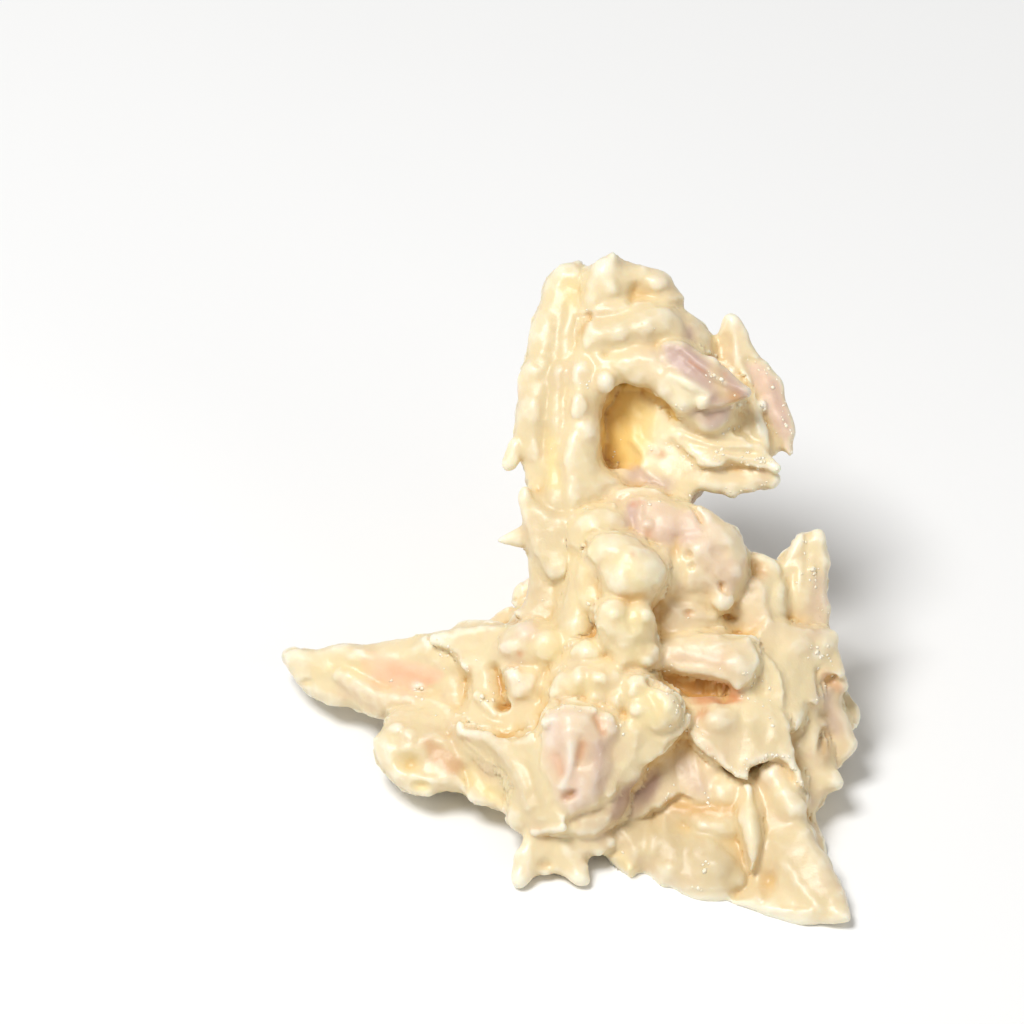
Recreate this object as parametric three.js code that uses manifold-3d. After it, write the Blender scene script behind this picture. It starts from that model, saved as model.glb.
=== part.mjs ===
// A white chocolate almond cluster: slivered almonds stirred into white chocolate, spooned out
// and left to set in one ragged lump with a tall arm, a hollow behind it and a long low tongue.
//
// Units are millimetres. The cluster is described as it is seen: each piece of its face is given
// as [right, rise, out], measured across the face, up along it and out of it towards the viewer.
// The face leans back over the surface that the cluster set on, where z is 0. What lies behind
// the face is given as [x, y, z].
//
// Every sliver, lump and ridge is a distance function. They are blended as wet chocolate runs
// together, and the blend is meshed once by marching cubes. Thin points that such a mesh would
// round away are modelled as closed rods and joined on.
import * as THREE from "three";
import { MarchingCubes } from "three/addons/objects/MarchingCubes.js";
import { mergeVertices } from "three/addons/utils/BufferGeometryUtils.js";
import Module from "manifold-3d";

// Driving sizes.
const VIEW_HEIGHT = 40; // degrees that the face's own direction points above the horizon
const LIFT = 24; // height of the face's zero above the surface
const CENTRE = [0.4, 2.8]; // x and y of the point under the middle, where the origin is put
const SLIVER = 5; // width of an almond sliver with its coat
const COAT = 2.2; // thickness of a sheet of set chocolate
const RUN = 1.1; // distance over which two pieces run together
const BLUNT = 0.2; // how much less a sliver thins towards its end than it narrows

// How finely it is meshed.
const CELL = 1.67; // size of a grid cell
const CELLS = 46; // cells along each side of the grid
const SOLE_ROW = 2.5; // the flat sole lies midway between two rows of the grid
const CLEAR = 0.1 * CELL; // least distance between the surface and a corner of the grid
const SIDES = 6; // sides of a thin tip
const WELD = 1e-3;
const MOST_FACES = 30000;

const wasm = await Module();
wasm.setup();
const { clamp, lerp, degToRad } = THREE.MathUtils;

/** Turns [right, rise, out] on the leaning face into a point of the standing cluster. */
function stand([right, rise, out]) {
  const lean = degToRad(90 - VIEW_HEIGHT);
  return new THREE.Vector3(right, rise, out)
    .applyAxisAngle(new THREE.Vector3(1, 0, 0), lean)
    .add(new THREE.Vector3(0, 0, LIFT));
}

/** The three directions of a rod: across its width, along it and through its thickness. */
function rodAxes(start, end, turn) {
  const along = new THREE.Vector3(...end).sub(new THREE.Vector3(...start)).normalize();
  const across = along.clone().cross(new THREE.Vector3(0, 0, 1)).normalize();
  across.applyAxisAngle(along, degToRad(turn));
  return [across, along, across.clone().cross(along)];
}

/** A rod with an oval section and round ends, as the distance of a point from its surface. */
function rod(start, end, halfWidths, halfThicknesses, turn = 0) {
  const [across, along, through] = rodAxes(start, end, turn);
  const from = new THREE.Vector3(...start);
  const length = from.distanceTo(new THREE.Vector3(...end));
  const offset = new THREE.Vector3();
  return (point) => {
    offset.subVectors(point, from);
    const reach = offset.dot(along);
    const share = clamp(reach / length, 0, 1);
    const halfWidth = lerp(...halfWidths, share);
    const halfThickness = lerp(...halfThicknesses, share);
    const least = Math.min(halfWidth, halfThickness);
    const past = (reach - share * length) / least;
    const ratio = Math.hypot(offset.dot(across) / halfWidth, offset.dot(through) / halfThickness, past);
    return (ratio - 1) * least;
  };
}

/** An almond sliver in its coat, wide across the face unless it is turned about its length. */
function sliver(start, end, startWidth, endWidth, thickness, turn = 0) {
  const endThickness = thickness * Math.min(1, endWidth / startWidth + BLUNT);
  return rod(start, end, [startWidth / 2, endWidth / 2], [thickness / 2, endThickness / 2], turn);
}

/** A drip or ridge of chocolate, round and narrowing to its end. */
function drip(start, end, startRadius, endRadius) {
  return rod(start, end, [startRadius, endRadius], [startRadius, endRadius]);
}

/** A rounded lump of chocolate over buried nuts, turned in the plane of the face. */
function lump(centre, radii, turn = 0) {
  const middle = new THREE.Vector3(...centre);
  const size = new THREE.Vector3(...radii);
  const back = degToRad(-turn);
  const facing = new THREE.Vector3(0, 0, 1);
  const offset = new THREE.Vector3();
  return (point) => {
    offset.subVectors(point, middle).applyAxisAngle(facing, back).divide(size);
    const ratio = offset.length();
    const steepness = offset.divide(size).length();
    return steepness < WELD ? -Math.min(...radii) : (ratio * (ratio - 1)) / steepness;
  };
}

/** The tall arm: two long slivers side by side, coated together. */
function arm() {
  return [
    sliver([0.3, 34.2, -13.2], [-2.9, 21, -10.6], 5.0, 5.8, SLIVER),
    drip([0.7, 33.8, -13.4], [1.3, 35.6, -13.8], 1.8, 1.0),
    sliver([-3.2, 23, -10.8], [-2.5, 7.5, -9.4], 5.6, 4.4, SLIVER),
    sliver([1.9, 25.8, -9.4], [1.6, 11, -7.8], 4.8, 4.8, SLIVER),
    sliver([1.6, 13, -7.8], [2.2, 2, -6.6], SLIVER, 6.4, SLIVER),
    drip([3.2, 12.6, -8.0], [7.5, 9.4, -7.5], 1.7, 1.7),
    lump([1.1, 19.5, -6.4], [1.3, 2.0, 1.3]),
    lump([4.0, 22.8, -7.4], [1.4, 1.4, 1.5]),
    drip([-3.4, 5.4, -8.2], [-5.8, 5.1, -8.0], 1.7, 1.0),
    drip([-4.6, 15.8, -9.4], [-6.3, 14.2, -8.9], 1.1, 0.9),
  ];
}

/** The knobbly cap at the top, right of the arm. */
function cap() {
  return [
    lump([4.7, 33.3, -11.4], [2.8, 3.0, 2.9]),
    drip([4.9, 34.6, -11.6], [5.2, 36.2, -11.9], 2.0, 1.0),
    sliver([6.0, 33.6, -12.3], [12.0, 32.6, -12.8], 5.0, 3.6, 4.4),
  ];
}

/** The brow under the cap, with a bare-sided almond running down to its right. */
function brow() {
  return [
    lump([3.0, 28.0, -9.6], [2.2, 2.6, 2.4]),
    sliver([4.0, 28.6, -9.6], [12.1, 28.3, -10.0], SLIVER, SLIVER, SLIVER),
    sliver([3.6, 24.5, -9.2], [11.4, 23.9, -8.4], 4.4, 4.0, 4.0),
    sliver([9.0, 25.9, -9.0], [18.2, 21.6, -7.0], 4.4, 4.4, 4.6, -18),
    sliver([11.0, 22.8, -8.2], [16.6, 19.2, -7.6], 3.4, 4.0, 3.6),
    lump([13.6, 28.8, -12.2], [1.2, 2.2, 1.6]),
  ];
}

/** The sheets that close the hollow behind the arm and curl round below the brow. */
function hollow() {
  return [
    sliver([1.5, 18.5, -16.8], [7.0, 18.5, -15.4], 13, 12, 2.6),
    sliver([6.0, 18.5, -15.4], [10.5, 17.5, -11.8], 11, 8, COAT),
    sliver([10.5, 18.6, -11.0], [22.4, 13.7, -9.6], 5.4, 2.4, COAT),
    sliver([10.8, 16.4, -9.4], [20.5, 13.9, -9.0], 3.0, 2.0, COAT),
    sliver([9.0, 13.4, -10.8], [22.4, 11.9, -10.2], 3.6, 2.6, 2.4),
    sliver([8.8, 13.4, -10.6], [13.2, 9.8, -9.2], 2.6, 2.6, 2.4),
    sliver([9.0, 19.0, -13.6], [21.6, 14.2, -12.8], 5.4, 3.6, 3.6),
  ];
}

/** The tall leaf of chocolate at the right, and the almond that lies along it. */
function spire() {
  return [
    sliver([18.6, 29.2, -13.2], [19.0, 24, -12.0], 2.6, 6.6, 3.0),
    sliver([18.8, 24.6, -12.0], [20.9, 17.6, -10.4], 6.4, 2.4, 2.8),
    sliver([16.2, 25.2, -12.4], [18.0, 21, -11.6], 3.0, SLIVER, 2.6),
    sliver([21.4, 24.0, -12.8], [24.3, 17.4, -11.6], 4.0, 3.0, 2.8),
    sliver([12.0, 27.5, -14.6], [20.5, 19, -14.2], 4.6, 4.4, 4.4),
  ];
}

/** The column below the arm, with a leaf of chocolate folded over its left side. */
function column() {
  return [
    sliver([-3.4, 9.3, -6.8], [-1.5, 2.6, -5.2], 4.4, 2.8, 3.6),
    sliver([-2.0, 7.0, -9.0], [-2.0, -5.0, -7.4], 4.6, 5.4, SLIVER),
    sliver([1.6, 3.0, -6.8], [0.2, -10.0, -2.8], 6.4, 6.4, 5.4),
  ];
}

/** The middle: a round knob, a bare almond end and the big rounded cheek over it. */
function middle() {
  return [
    lump([7.1, 1.3, -0.8], [3.7, 3.5, 3.6]),
    lump([3.6, 5.6, -4.2], [3.4, 3.0, 3.0]),
    drip([4.6, 9.4, -7.2], [12.6, 8.8, -7.4], 1.6, 1.3),
    sliver([8.0, 7.0, -4.8], [14.5, 6.0, -5.0], SLIVER, SLIVER, 4.6, 22),
    lump([14.9, 3.0, -5.6], [5.2, 5.4, 4.6]),
    lump([17.2, -1.6, -3.2], [1.5, 1.4, 1.5]),
    lump([12.6, -2.6, -5.0], [4.4, 3.4, 3.6]),
  ];
}

/** The right side: a short tower, its shoulder, and the slivers that hang below it. */
function rightSide() {
  return [
    sliver([21.2, -0.8, -7.8], [20.2, -6.2, -6.6], SLIVER, 5.2, 3.4),
    sliver([20.8, 1.6, -9.4], [24.4, 0.2, -9.8], 3.0, 2.6, 3.0),
    sliver([27.4, 3.6, -10.8], [26.5, -5.5, -8.2], 3.6, 5.6, 4.2),
    lump([26.0, -8.0, -6.6], [4.4, 3.4, 3.6]),
    lump([29.4, -8.6, -8.6], [1.6, 3.6, 2.4]),
    sliver([24.2, -7.5, -4.0], [25.1, -14.4, -2.6], 3.6, 3.2, 3.4),
    sliver([27.4, -10.5, -6.2], [26.6, -24, -2.2], 3.4, 4.8, 4.4),
    sliver([30.0, -11.6, -8.6], [30.5, -18.4, -8.0], 2.8, 3.2, 3.4),
    drip([27.6, -21.7, -2.8], [29.8, -22.0, -2.8], 1.5, 0.9),
  ];
}

/** The sliver that juts like a shelf under the cheek, with the sheet that runs on from it. */
function shelf() {
  return [
    sliver([10.6, -7.6, -1.2], [18.8, -8.4, 0.2], 3.6, 4.0, 3.4),
    sliver([20.4, -7.4, -2.8], [22.2, -12.2, -1.6], 4.4, 4.2, COAT),
    sliver([14.0, -12.4, -1.2], [20.0, -11.8, -0.6], 2.6, 2.6, 2.6),
  ];
}

/** The broad torn sheet below the shelf, and the one that shows under its edge. */
function bib() {
  return [
    lump([17.2, -15.6, -0.2], [3.4, 3.2, 2.8]),
    sliver([15.6, -15.4, -0.6], [18.4, -19.8, 1.0], SLIVER, 3.4, COAT),
    sliver([20.6, -14.0, 0.0], [22.8, -17.8, 0.6], 5.6, 4.6, COAT),
    sliver([12.5, -17.0, -1.8], [14.6, -22.6, -0.2], SLIVER, 3.4, 2.6),
    sliver([12.2, -19.0, -1.2], [10.8, -22.2, -0.2], SLIVER, 3.0, 2.6),
    sliver([9.8, -19.6, -0.6], [6.4, -24.8, 0.6], 5.6, 4.6, 2.8),
  ];
}

/** The yellow-white knobs that crown the front. */
function crown() {
  return [
    lump([6.4, -4.6, 1.0], [3.0, 2.9, 3.0]),
    lump([7.2, -8.2, 0.4], [3.0, 2.2, 2.6]),
    lump([9.9, -13.2, 2.8], [2.8, 2.7, 2.8]),
    lump([5.4, -11.4, 1.4], [3.8, 2.4, 2.8]),
    lump([1.6, -10.2, 0.4], [3.8, 2.8, 3.0]),
  ];
}

/** The thinly coated almond at the front, in a skirt of chocolate with two short feet. */
function front() {
  return [
    lump([0.9, -18.6, 3.0], [3.8, 5.2, 4.0], -8),
    lump([4.3, -15.3, 3.8], [1.8, 2.4, 2.2]),
    lump([0.6, -23.2, 3.2], [2.4, 2.2, 2.2]),
    sliver([9.6, -15.6, 0.8], [5.4, -21.2, 1.6], 5.0, 4.0, 2.6),
    sliver([-2.2, -15.2, 0.2], [-1.2, -25.6, 1.8], 6.4, SLIVER, 3.0),
    sliver([3.2, -22.0, 1.6], [2.4, -26.0, 2.4], SLIVER, 3.4, COAT),
    sliver([-3.9, -26.8, 1.8], [-4.8, -31.2, 2.2], 2.8, 2.2, COAT),
    sliver([-0.4, -26.8, 2.2], [0.6, -31.0, 2.6], 4.6, 2.8, COAT),
    sliver([-9.0, -15.6, -2.6], [-4.4, -25.0, 1.0], 3.4, 3.2, 3.0),
    sliver([-12.8, -16.4, -5.0], [-6.2, -24.6, -1.4], 5.2, 3.2, 4.4),
  ];
}

/** The long low tongue at the left, and the lobe that hangs below it. */
function tongue() {
  return [
    sliver([-7.0, -8.4, -8.0], [-27.5, -10.0, -16.2], 8.0, 5.2, 3.6),
    sliver([-24.0, -9.6, -14.6], [-31.4, -8.8, -17.6], 4.6, 1.8, 2.6),
    sliver([-29.4, -10.8, -17.0], [-14.0, -13.2, -8.8], 2.8, 3.2, 3.2),
    sliver([-27.0, -8.5, -17.0], [-9.5, -5.8, -9.8], 2.2, 3.0, 2.8),
    lump([-17.2, -18.8, -5.4], [3.8, 3.4, 3.2]),
    lump([-16.0, -21.2, -4.6], [2.8, 2.0, 2.4]),
    lump([-19.6, -17.0, -6.0], [1.8, 1.8, 1.9]),
    lump([-13.2, -18.6, -5.4], [3.2, 3.2, 3.0]),
  ];
}

/** The nest: a hollow with a curled rim where the tongue meets the middle. */
function nest() {
  return [
    lump([-4.0, -7.0, -5.2], [3.6, 3.0, 3.2]),
    lump([-8.8, -8.0, -7.2], [2.6, 2.6, 2.8]),
    lump([-4.6, -11.2, -4.2], [2.8, 2.4, 2.8]),
    drip([-10.3, -9.4, -6.0], [-10.7, -12.8, -5.0], 1.0, 1.0),
    drip([-10.7, -12.8, -5.0], [-8.4, -15.2, -3.4], 1.0, 1.1),
    drip([-8.4, -15.2, -3.4], [-3.6, -14.4, -1.4], 1.1, 1.6),
  ];
}

/** The broad lobe along the bottom and the pointed cone at its right. */
function foot() {
  return [
    sliver([6.8, -28.4, 0.0], [16.6, -30.4, 1.6], 5.6, 7.0, 6.0),
    lump([14.2, -31.8, 2.8], [5.0, 2.7, 2.8], -6),
    sliver([3.4, -28.2, 1.0], [8.4, -31.0, 2.2], 2.4, 3.0, 2.6),
    sliver([5.0, -26.4, -2.4], [19.0, -25.0, -3.4], 4.0, SLIVER, 4.0),
    sliver([19.6, -22.8, 0.2], [20.4, -30.8, 2.2], 2.4, 2.2, 3.0),
    sliver([22.8, -24.8, 0.2], [29.4, -34.4, 5.8], 6.0, 3.0, SLIVER),
    drip([29.0, -33.8, 6.0], [30.1, -35.7, 7.2], 1.7, 1.3),
    sliver([20.0, -34.4, 5.2], [29.0, -36.0, 7.4], 2.2, 2.4, 2.6),
    lump([24.4, -32.2, 3.4], [4.4, 2.8, 2.8]),
    sliver([27.0, -26.5, -3.0], [28.4, -31.0, -0.4], 2.2, 2.2, 3.0),
    sliver([22.4, -20.2, -1.4], [24.8, -23.8, 0.0], 3.6, 3.6, 3.6),
  ];
}

/** Hollows in the face: behind the arm, under the shelf, in the nest and between the lobes. */
function hollows() {
  return [
    lump([6.4, 17.6, -10.6], [2.2, 4.0, 4.2]),
    lump([13.2, -10.8, 1.8], [3.8, 1.0, 3.0]),
    lump([-7.4, -13.2, -2.8], [2.0, 1.5, 2.4]),
    lump([13.6, -25.0, 1.4], [3.4, 1.1, 3.0]),
    lump([20.6, -32.8, 5.8], [1.0, 1.6, 2.6]),
    lump([15.2, 27.4, -10.4], [0.8, 1.4, 2.4]),
    lump([29.2, -18.2, -4.8], [1.3, 1.8, 2.4]),
  ];
}

/** The body under the face, in [x, y, z]: nuts and chocolate set in one mass. */
function body() {
  return [
    lump([8, 2, 9.6], [18, 14, 10]),
    lump([10, -6, 4.5], [14, 8, 5]),
    lump([7, 12.6, 17.6], [9, 7.6, 8]),
    lump([6.4, 24, 22], [6.8, 5.6, 8.4]),
    lump([7, 29.5, 35.6], [6, 4.4, 6]),
    lump([23.4, 2, 8], [6.6, 11.6, 7.4]),
    lump([23, -12, 4.2], [5.6, 7.6, 4.6]),
    lump([-8, 2, 6.6], [9, 8, 5.2]),
    lump([-4, -8.6, 5], [8, 7.6, 5.2]),
  ];
}

/** The back, in [x, y, z]: slivers lying over each other from the surface up to the arm. */
function back() {
  return [
    sliver([-10, 10.6, 3.6], [8, 17.5, 3.2], 5.4, 5.4, SLIVER, 60),
    sliver([9, 18, 3], [25, 12, 3.6], 5.4, SLIVER, SLIVER, 50),
    sliver([24, 12.4, 6.6], [31, -1, 5], SLIVER, 5.4, 4.6, 40),
    sliver([-4, 14.4, 9.4], [11, 22, 15], 5.2, 4.8, 4.6, 70),
    sliver([2, 27.6, 20], [-1.8, 30.4, 35], SLIVER, 4.4, 4.6),
    sliver([13, 26, 25], [5, 33.4, 38], 5.2, 4.4, 4.6),
    sliver([12, 19.6, 8.4], [22.6, 12.6, 13.6], 5.2, 4.6, 4.6, 30),
    sliver([19, 24, 26.6], [11, 24, 13], SLIVER, 5.4, 4.6),
    sliver([-16, 7, 4.2], [-5.6, 10.4, 9.4], SLIVER, 4.6, 4.4, 60),
    sliver([1.6, 28.6, 14.6], [10.4, 29.8, 22.6], 5.2, 4.8, 4.6, 20),
    sliver([12.8, 27.8, 17], [8.4, 31.2, 31], SLIVER, 4.6, 4.6),
  ];
}

/** The thin tips of the face, each [start, end, start radius, end radius]. */
const TIPS = [
  [[0.9, 34.6, -13.5], [1.5, 36.4, -13.9], 1.5, 0.6],
  [[5.0, 35.0, -11.7], [5.3, 37.3, -12.1], 1.6, 0.35],
  [[-4.6, 5.3, -8.2], [-7.8, 4.9, -7.9], 1.3, 0.25],
  [[26.8, 3.6, -10.7], [26.4, 5.5, -10.8], 1.1, 0.4],
  [[28.0, 3.8, -10.8], [28.4, 5.8, -10.9], 1.2, 0.5],
  [[18.6, 28.4, -13.0], [18.6, 30.3, -13.3], 1.5, 0.6],
  [[24.2, 18.0, -11.7], [25.3, 14.8, -11.0], 1.1, 0.35],
  [[10.6, 22.8, -8.0], [10.9, 20.9, -7.7], 1.0, 0.45],
  [[24.0, -17.8, 0.6], [26.1, -22.3, 1.6], 1.1, 0.4],
  [[28.6, -21.7, -2.9], [31.0, -22.0, -2.9], 1.3, 0.45],
  [[-30.0, -8.9, -17.0], [-32.5, -8.2, -18.0], 1.2, 0.5],
  [[-4.6, -30.0, 2.1], [-5.3, -32.5, 2.6], 1.2, 0.6],
  [[0.7, -30.2, 2.6], [1.8, -32.6, 2.9], 1.2, 0.5],
  [[6.2, -30.4, 2.0], [7.2, -32.4, 2.6], 1.0, 0.4],
];

/** Joins two distances as wet chocolate runs together over a short way. */
function runTogether(a, b, run = RUN) {
  const overlap = Math.max(run - Math.abs(a - b), 0) / run;
  return Math.min(a, b) - (overlap * overlap * run) / 4;
}

/** How far a point lies from the surface of the whole cluster; negative is inside. */
function clusterDistance(point, face, carved, rest) {
  const onFace = point.clone();
  onFace.z -= LIFT;
  onFace.applyAxisAngle(new THREE.Vector3(1, 0, 0), -degToRad(90 - VIEW_HEIGHT));
  let distance = face.reduce((nearest, piece) => runTogether(nearest, piece(onFace)), Infinity);
  distance = rest.reduce((nearest, piece) => runTogether(nearest, piece(point)), distance);
  distance = carved.reduce((most, piece) => -runTogether(-most, piece(onFace)), distance);
  return Math.max(distance, -point.z);
}

/** The blended cluster as one mesh, with x and y still measured from the face's zero. */
function meltedBody() {
  const regions = [
    arm, cap, brow, hollow, spire, column, middle, rightSide, shelf, bib, crown, front, tongue,
    nest, foot,
  ];
  const face = regions.flatMap((region) => region());
  const rest = [...body(), ...back()];
  const carved = hollows();
  const cubes = new MarchingCubes(CELLS, undefined, false, false, MOST_FACES);
  cubes.isolation = 0;
  const half = CELLS / 2;
  const centre = new THREE.Vector3(...CENTRE, (half - SOLE_ROW) * CELL);
  const point = new THREE.Vector3();
  for (let i = 0; i < CELLS; i++) {
    for (let j = 0; j < CELLS; j++) {
      for (let k = 0; k < CELLS; k++) {
        point.set(i - half, j - half, k - half).multiplyScalar(CELL).add(centre);
        const depth = -clusterDistance(point, face, carved, rest);
        cubes.setCell(i, j, k, Math.abs(depth) < CLEAR ? Math.sign(depth) * CLEAR : depth);
      }
    }
  }
  cubes.update();
  const corners = cubes.geometry.attributes.position.array.slice(0, cubes.count * 3);
  return new THREE.BufferGeometry()
    .setAttribute("position", new THREE.BufferAttribute(corners, 3))
    .scale(half * CELL, half * CELL, half * CELL)
    .translate(centre.x, centre.y, centre.z);
}

/** A narrowing tip as a closed rod. */
function tip([start, end, startRadius, endRadius]) {
  const from = stand(start);
  const to = stand(end);
  const along = to.clone().sub(from);
  const cone = new THREE.CylinderGeometry(endRadius, startRadius, along.length(), SIDES);
  const upright = new THREE.Vector3(0, 1, 0);
  const turn = new THREE.Quaternion().setFromUnitVectors(upright, along.normalize());
  const place = from.add(to).multiplyScalar(0.5);
  return cone.applyQuaternion(turn).translate(place.x, place.y, place.z);
}

/** A solid from a closed geometry, with its shared corners merged and its empty faces dropped. */
function solid(geometry) {
  geometry.deleteAttribute("normal");
  geometry.deleteAttribute("uv");
  const merged = mergeVertices(geometry, WELD);
  const corners = merged.index.array;
  const faces = [];
  for (let i = 0; i < corners.length; i += 3) {
    const [a, b, c] = corners.slice(i, i + 3);
    if (a !== b && b !== c && c !== a) faces.push(a, b, c);
  }
  return new wasm.Manifold(new wasm.Mesh({
    numProp: 3,
    vertProperties: merged.attributes.position.array,
    triVerts: new Uint32Array(faces),
  }));
}

/** The largest piece of a solid: what a blend leaves loose, or seals inside, is dropped. */
function largest(whole) {
  return whole.decompose().reduce((most, piece) => (piece.volume() > most.volume() ? piece : most));
}

const tips = TIPS.map(tip).map(solid);
const cluster = tips.reduce((whole, piece) => whole.add(piece), largest(solid(meltedBody())));
const mesh = cluster.getMesh();
const geometry = new THREE.BufferGeometry()
  .setAttribute("position", new THREE.BufferAttribute(mesh.vertProperties, 3))
  .setIndex(new THREE.BufferAttribute(mesh.triVerts, 1))
  .translate(-CENTRE[0], -CENTRE[1], 0);
geometry.computeVertexNormals();

const coat = new THREE.MeshStandardMaterial({ color: 0xf1e4c0, roughness: 0.45, metalness: 0 });
const almondCluster = new THREE.Mesh(geometry, coat);
almondCluster.name = "almond_cluster";

const group = new THREE.Group();
group.add(almondCluster);
export default group;
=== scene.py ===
"""The looks of a white chocolate almond cluster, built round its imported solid.

The cluster is described as it is seen. A point of its face is (right, rise, out) in
millimetres: across the face, up along it and out of it towards the viewer. The face leans back
over the surface that the cluster set on, where z is 0. Points of the back are (x, y, z). A line
of the face is written as text, such as "1.2 3, 4 5.5" for a line from (1.2, 3) to (4, 5.5).

Each sliver of almond, drip, lump and sheet of chocolate is modelled by itself from a primitive.
They are joined and remeshed, so that they run together as wet chocolate does, the creases
between them are filled a little, and ridges, pits and cracks are then worked into the skin.
"""
from __future__ import annotations

import logging
import math
from dataclasses import dataclass, fields
from enum import Enum

import bpy
import numpy as np
from mathutils import Matrix, Vector


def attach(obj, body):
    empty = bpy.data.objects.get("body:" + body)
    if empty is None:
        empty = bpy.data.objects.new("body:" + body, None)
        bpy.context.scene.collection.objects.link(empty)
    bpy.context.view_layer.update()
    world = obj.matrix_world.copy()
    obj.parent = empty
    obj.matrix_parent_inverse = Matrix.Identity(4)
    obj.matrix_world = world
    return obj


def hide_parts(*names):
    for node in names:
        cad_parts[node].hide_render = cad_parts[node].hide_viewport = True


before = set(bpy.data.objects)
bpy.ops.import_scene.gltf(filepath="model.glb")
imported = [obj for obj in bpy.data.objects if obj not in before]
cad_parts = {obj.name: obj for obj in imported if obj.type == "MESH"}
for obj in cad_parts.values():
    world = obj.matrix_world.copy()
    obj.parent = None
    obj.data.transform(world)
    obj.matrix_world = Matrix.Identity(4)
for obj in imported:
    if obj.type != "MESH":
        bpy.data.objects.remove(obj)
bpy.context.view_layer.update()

LOG = logging.getLogger("almond_cluster")
MM = 0.001
NODE = "almond_cluster"
BODY = "root"
VIEW_HEIGHT = 40.0  # degrees that the face's own direction points above the horizon
LIFT = 24.0  # height of the face's zero above the surface
MIDDLE = (0.4, 2.8)  # x and y of the middle of the box, measured from the face's zero
SEED = 20

Point = tuple[float, ...]
FACE = (
    Matrix.Translation((-MIDDLE[0] * MM, -MIDDLE[1] * MM, LIFT * MM))
    @ Matrix.Rotation(math.radians(90 - VIEW_HEIGHT), 4, "X")
)
STANDING = Matrix.Translation((-MIDDLE[0] * MM, -MIDDLE[1] * MM, 0.0))


# ---------------------------------------------------------------- small helpers


def linear(red: int, green: int, blue: int) -> Point:
    """A colour as a screen gives it, 0 to 255 for each part, in linear light, 0 to 1."""
    parts = (red / 255, green / 255, blue / 255)
    return tuple(p / 12.92 if p <= 0.04045 else ((p + 0.055) / 1.055) ** 2.4 for p in parts)


class Hue(Enum):
    """The colours that lie on or show through the coat, and painted shade: the deep yellow-brown, the dark
    brown and the dull tan stand for shade in creases, pits and on sides turned from the light, the glow
    for light that scatters in the shaded hollow, and yellow also for shade in some grooves and pits.
    """

    BEIGE = linear(228, 203, 168)
    PINK = linear(230, 198, 176)
    MAUVE = linear(196, 164, 154)
    DEEP_MAUVE = linear(170, 130, 118)
    ORANGE = linear(214, 146, 96)
    # painted shade: deep yellow-brown where creases, pits and recesses lie in shade
    AMBER = linear(208, 150, 52)
    # painted light: the glow of light that scatters and bounces inside the shaded hollow
    GLOW = linear(246, 208, 122)
    # painted shade: dark brown in deep pits and in the slot under the shelf
    BROWN = linear(158, 84, 36)
    PEACH = linear(252, 206, 172)
    # the yellow of yellowish lumps, and also painted shade in some grooves and pits and on the knob
    YELLOW = linear(244, 222, 156)
    # painted shade: darker where a surface turns away from the light
    DUSK = linear(208, 186, 142)
    CREAM = linear(250, 240, 208)
    WHITE = linear(255, 250, 236)


def only(obj: bpy.types.Object) -> None:
    """Leaves this object alone selected, and active."""
    bpy.ops.object.select_all(action="DESELECT")
    obj.select_set(True)
    bpy.context.view_layer.objects.active = obj


def edit(obj: bpy.types.Object, chosen: np.ndarray | None = None) -> None:
    """Enters edit mode with the chosen faces selected.

    Args:
        obj: The object to edit.
        chosen: One truth value for each face, or None for all faces.
    """
    only(obj)
    bpy.ops.object.mode_set(mode="EDIT")
    bpy.ops.mesh.select_mode(type="FACE")
    bpy.ops.mesh.select_all(action="SELECT" if chosen is None else "DESELECT")
    if chosen is not None:
        bpy.ops.object.mode_set(mode="OBJECT")
        obj.data.polygons.foreach_set("select", chosen)
        bpy.ops.object.mode_set(mode="EDIT")


def leave() -> None:
    """Goes back to object mode."""
    bpy.ops.object.mode_set(mode="OBJECT")


def apply(obj: bpy.types.Object, kind: str, **settings: object) -> None:
    """Adds a modifier with its settings and applies it.

    Args:
        obj: The object that gets it.
        kind: The modifier's type.
        **settings: Its properties.
    """
    only(obj)
    modifier = obj.modifiers.new(kind.lower(), kind)
    for name, value in settings.items():
        setattr(modifier, name, value)
    bpy.ops.object.modifier_apply(modifier=modifier.name)


def read(mesh: bpy.types.Mesh) -> np.ndarray:
    """The vertices of a mesh, one row each."""
    flat = np.empty(len(mesh.vertices) * 3)
    mesh.vertices.foreach_get("co", flat)
    return flat.reshape(-1, 3)


def write(mesh: bpy.types.Mesh, points: np.ndarray) -> None:
    """Moves the vertices of a mesh to these points."""
    mesh.vertices.foreach_set("co", points.ravel())
    mesh.update()


def moved(points: np.ndarray, matrix: Matrix) -> np.ndarray:
    """Points, one row each, after a matrix."""
    grid = np.array(matrix)
    return points @ grid[:3, :3].T + grid[:3, 3]


def rows_of(text: str) -> list[tuple[float, ...]]:
    """The numbers of rows that are written as text, with a comma after each row but the last."""
    return [tuple(float(number) for number in row.split()) for row in text.split(",")]


def points_of(text: str) -> np.ndarray:
    """The points of a line that is written as text, one row each."""
    return np.array(rows_of(text))


def soft_step(values: np.ndarray, low: float, high: float) -> np.ndarray:
    """Goes smoothly from 0, up to low, to 1, from high on."""
    share = np.clip((values - low) / (high - low), 0, 1)
    return share * share * (3 - 2 * share)


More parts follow.
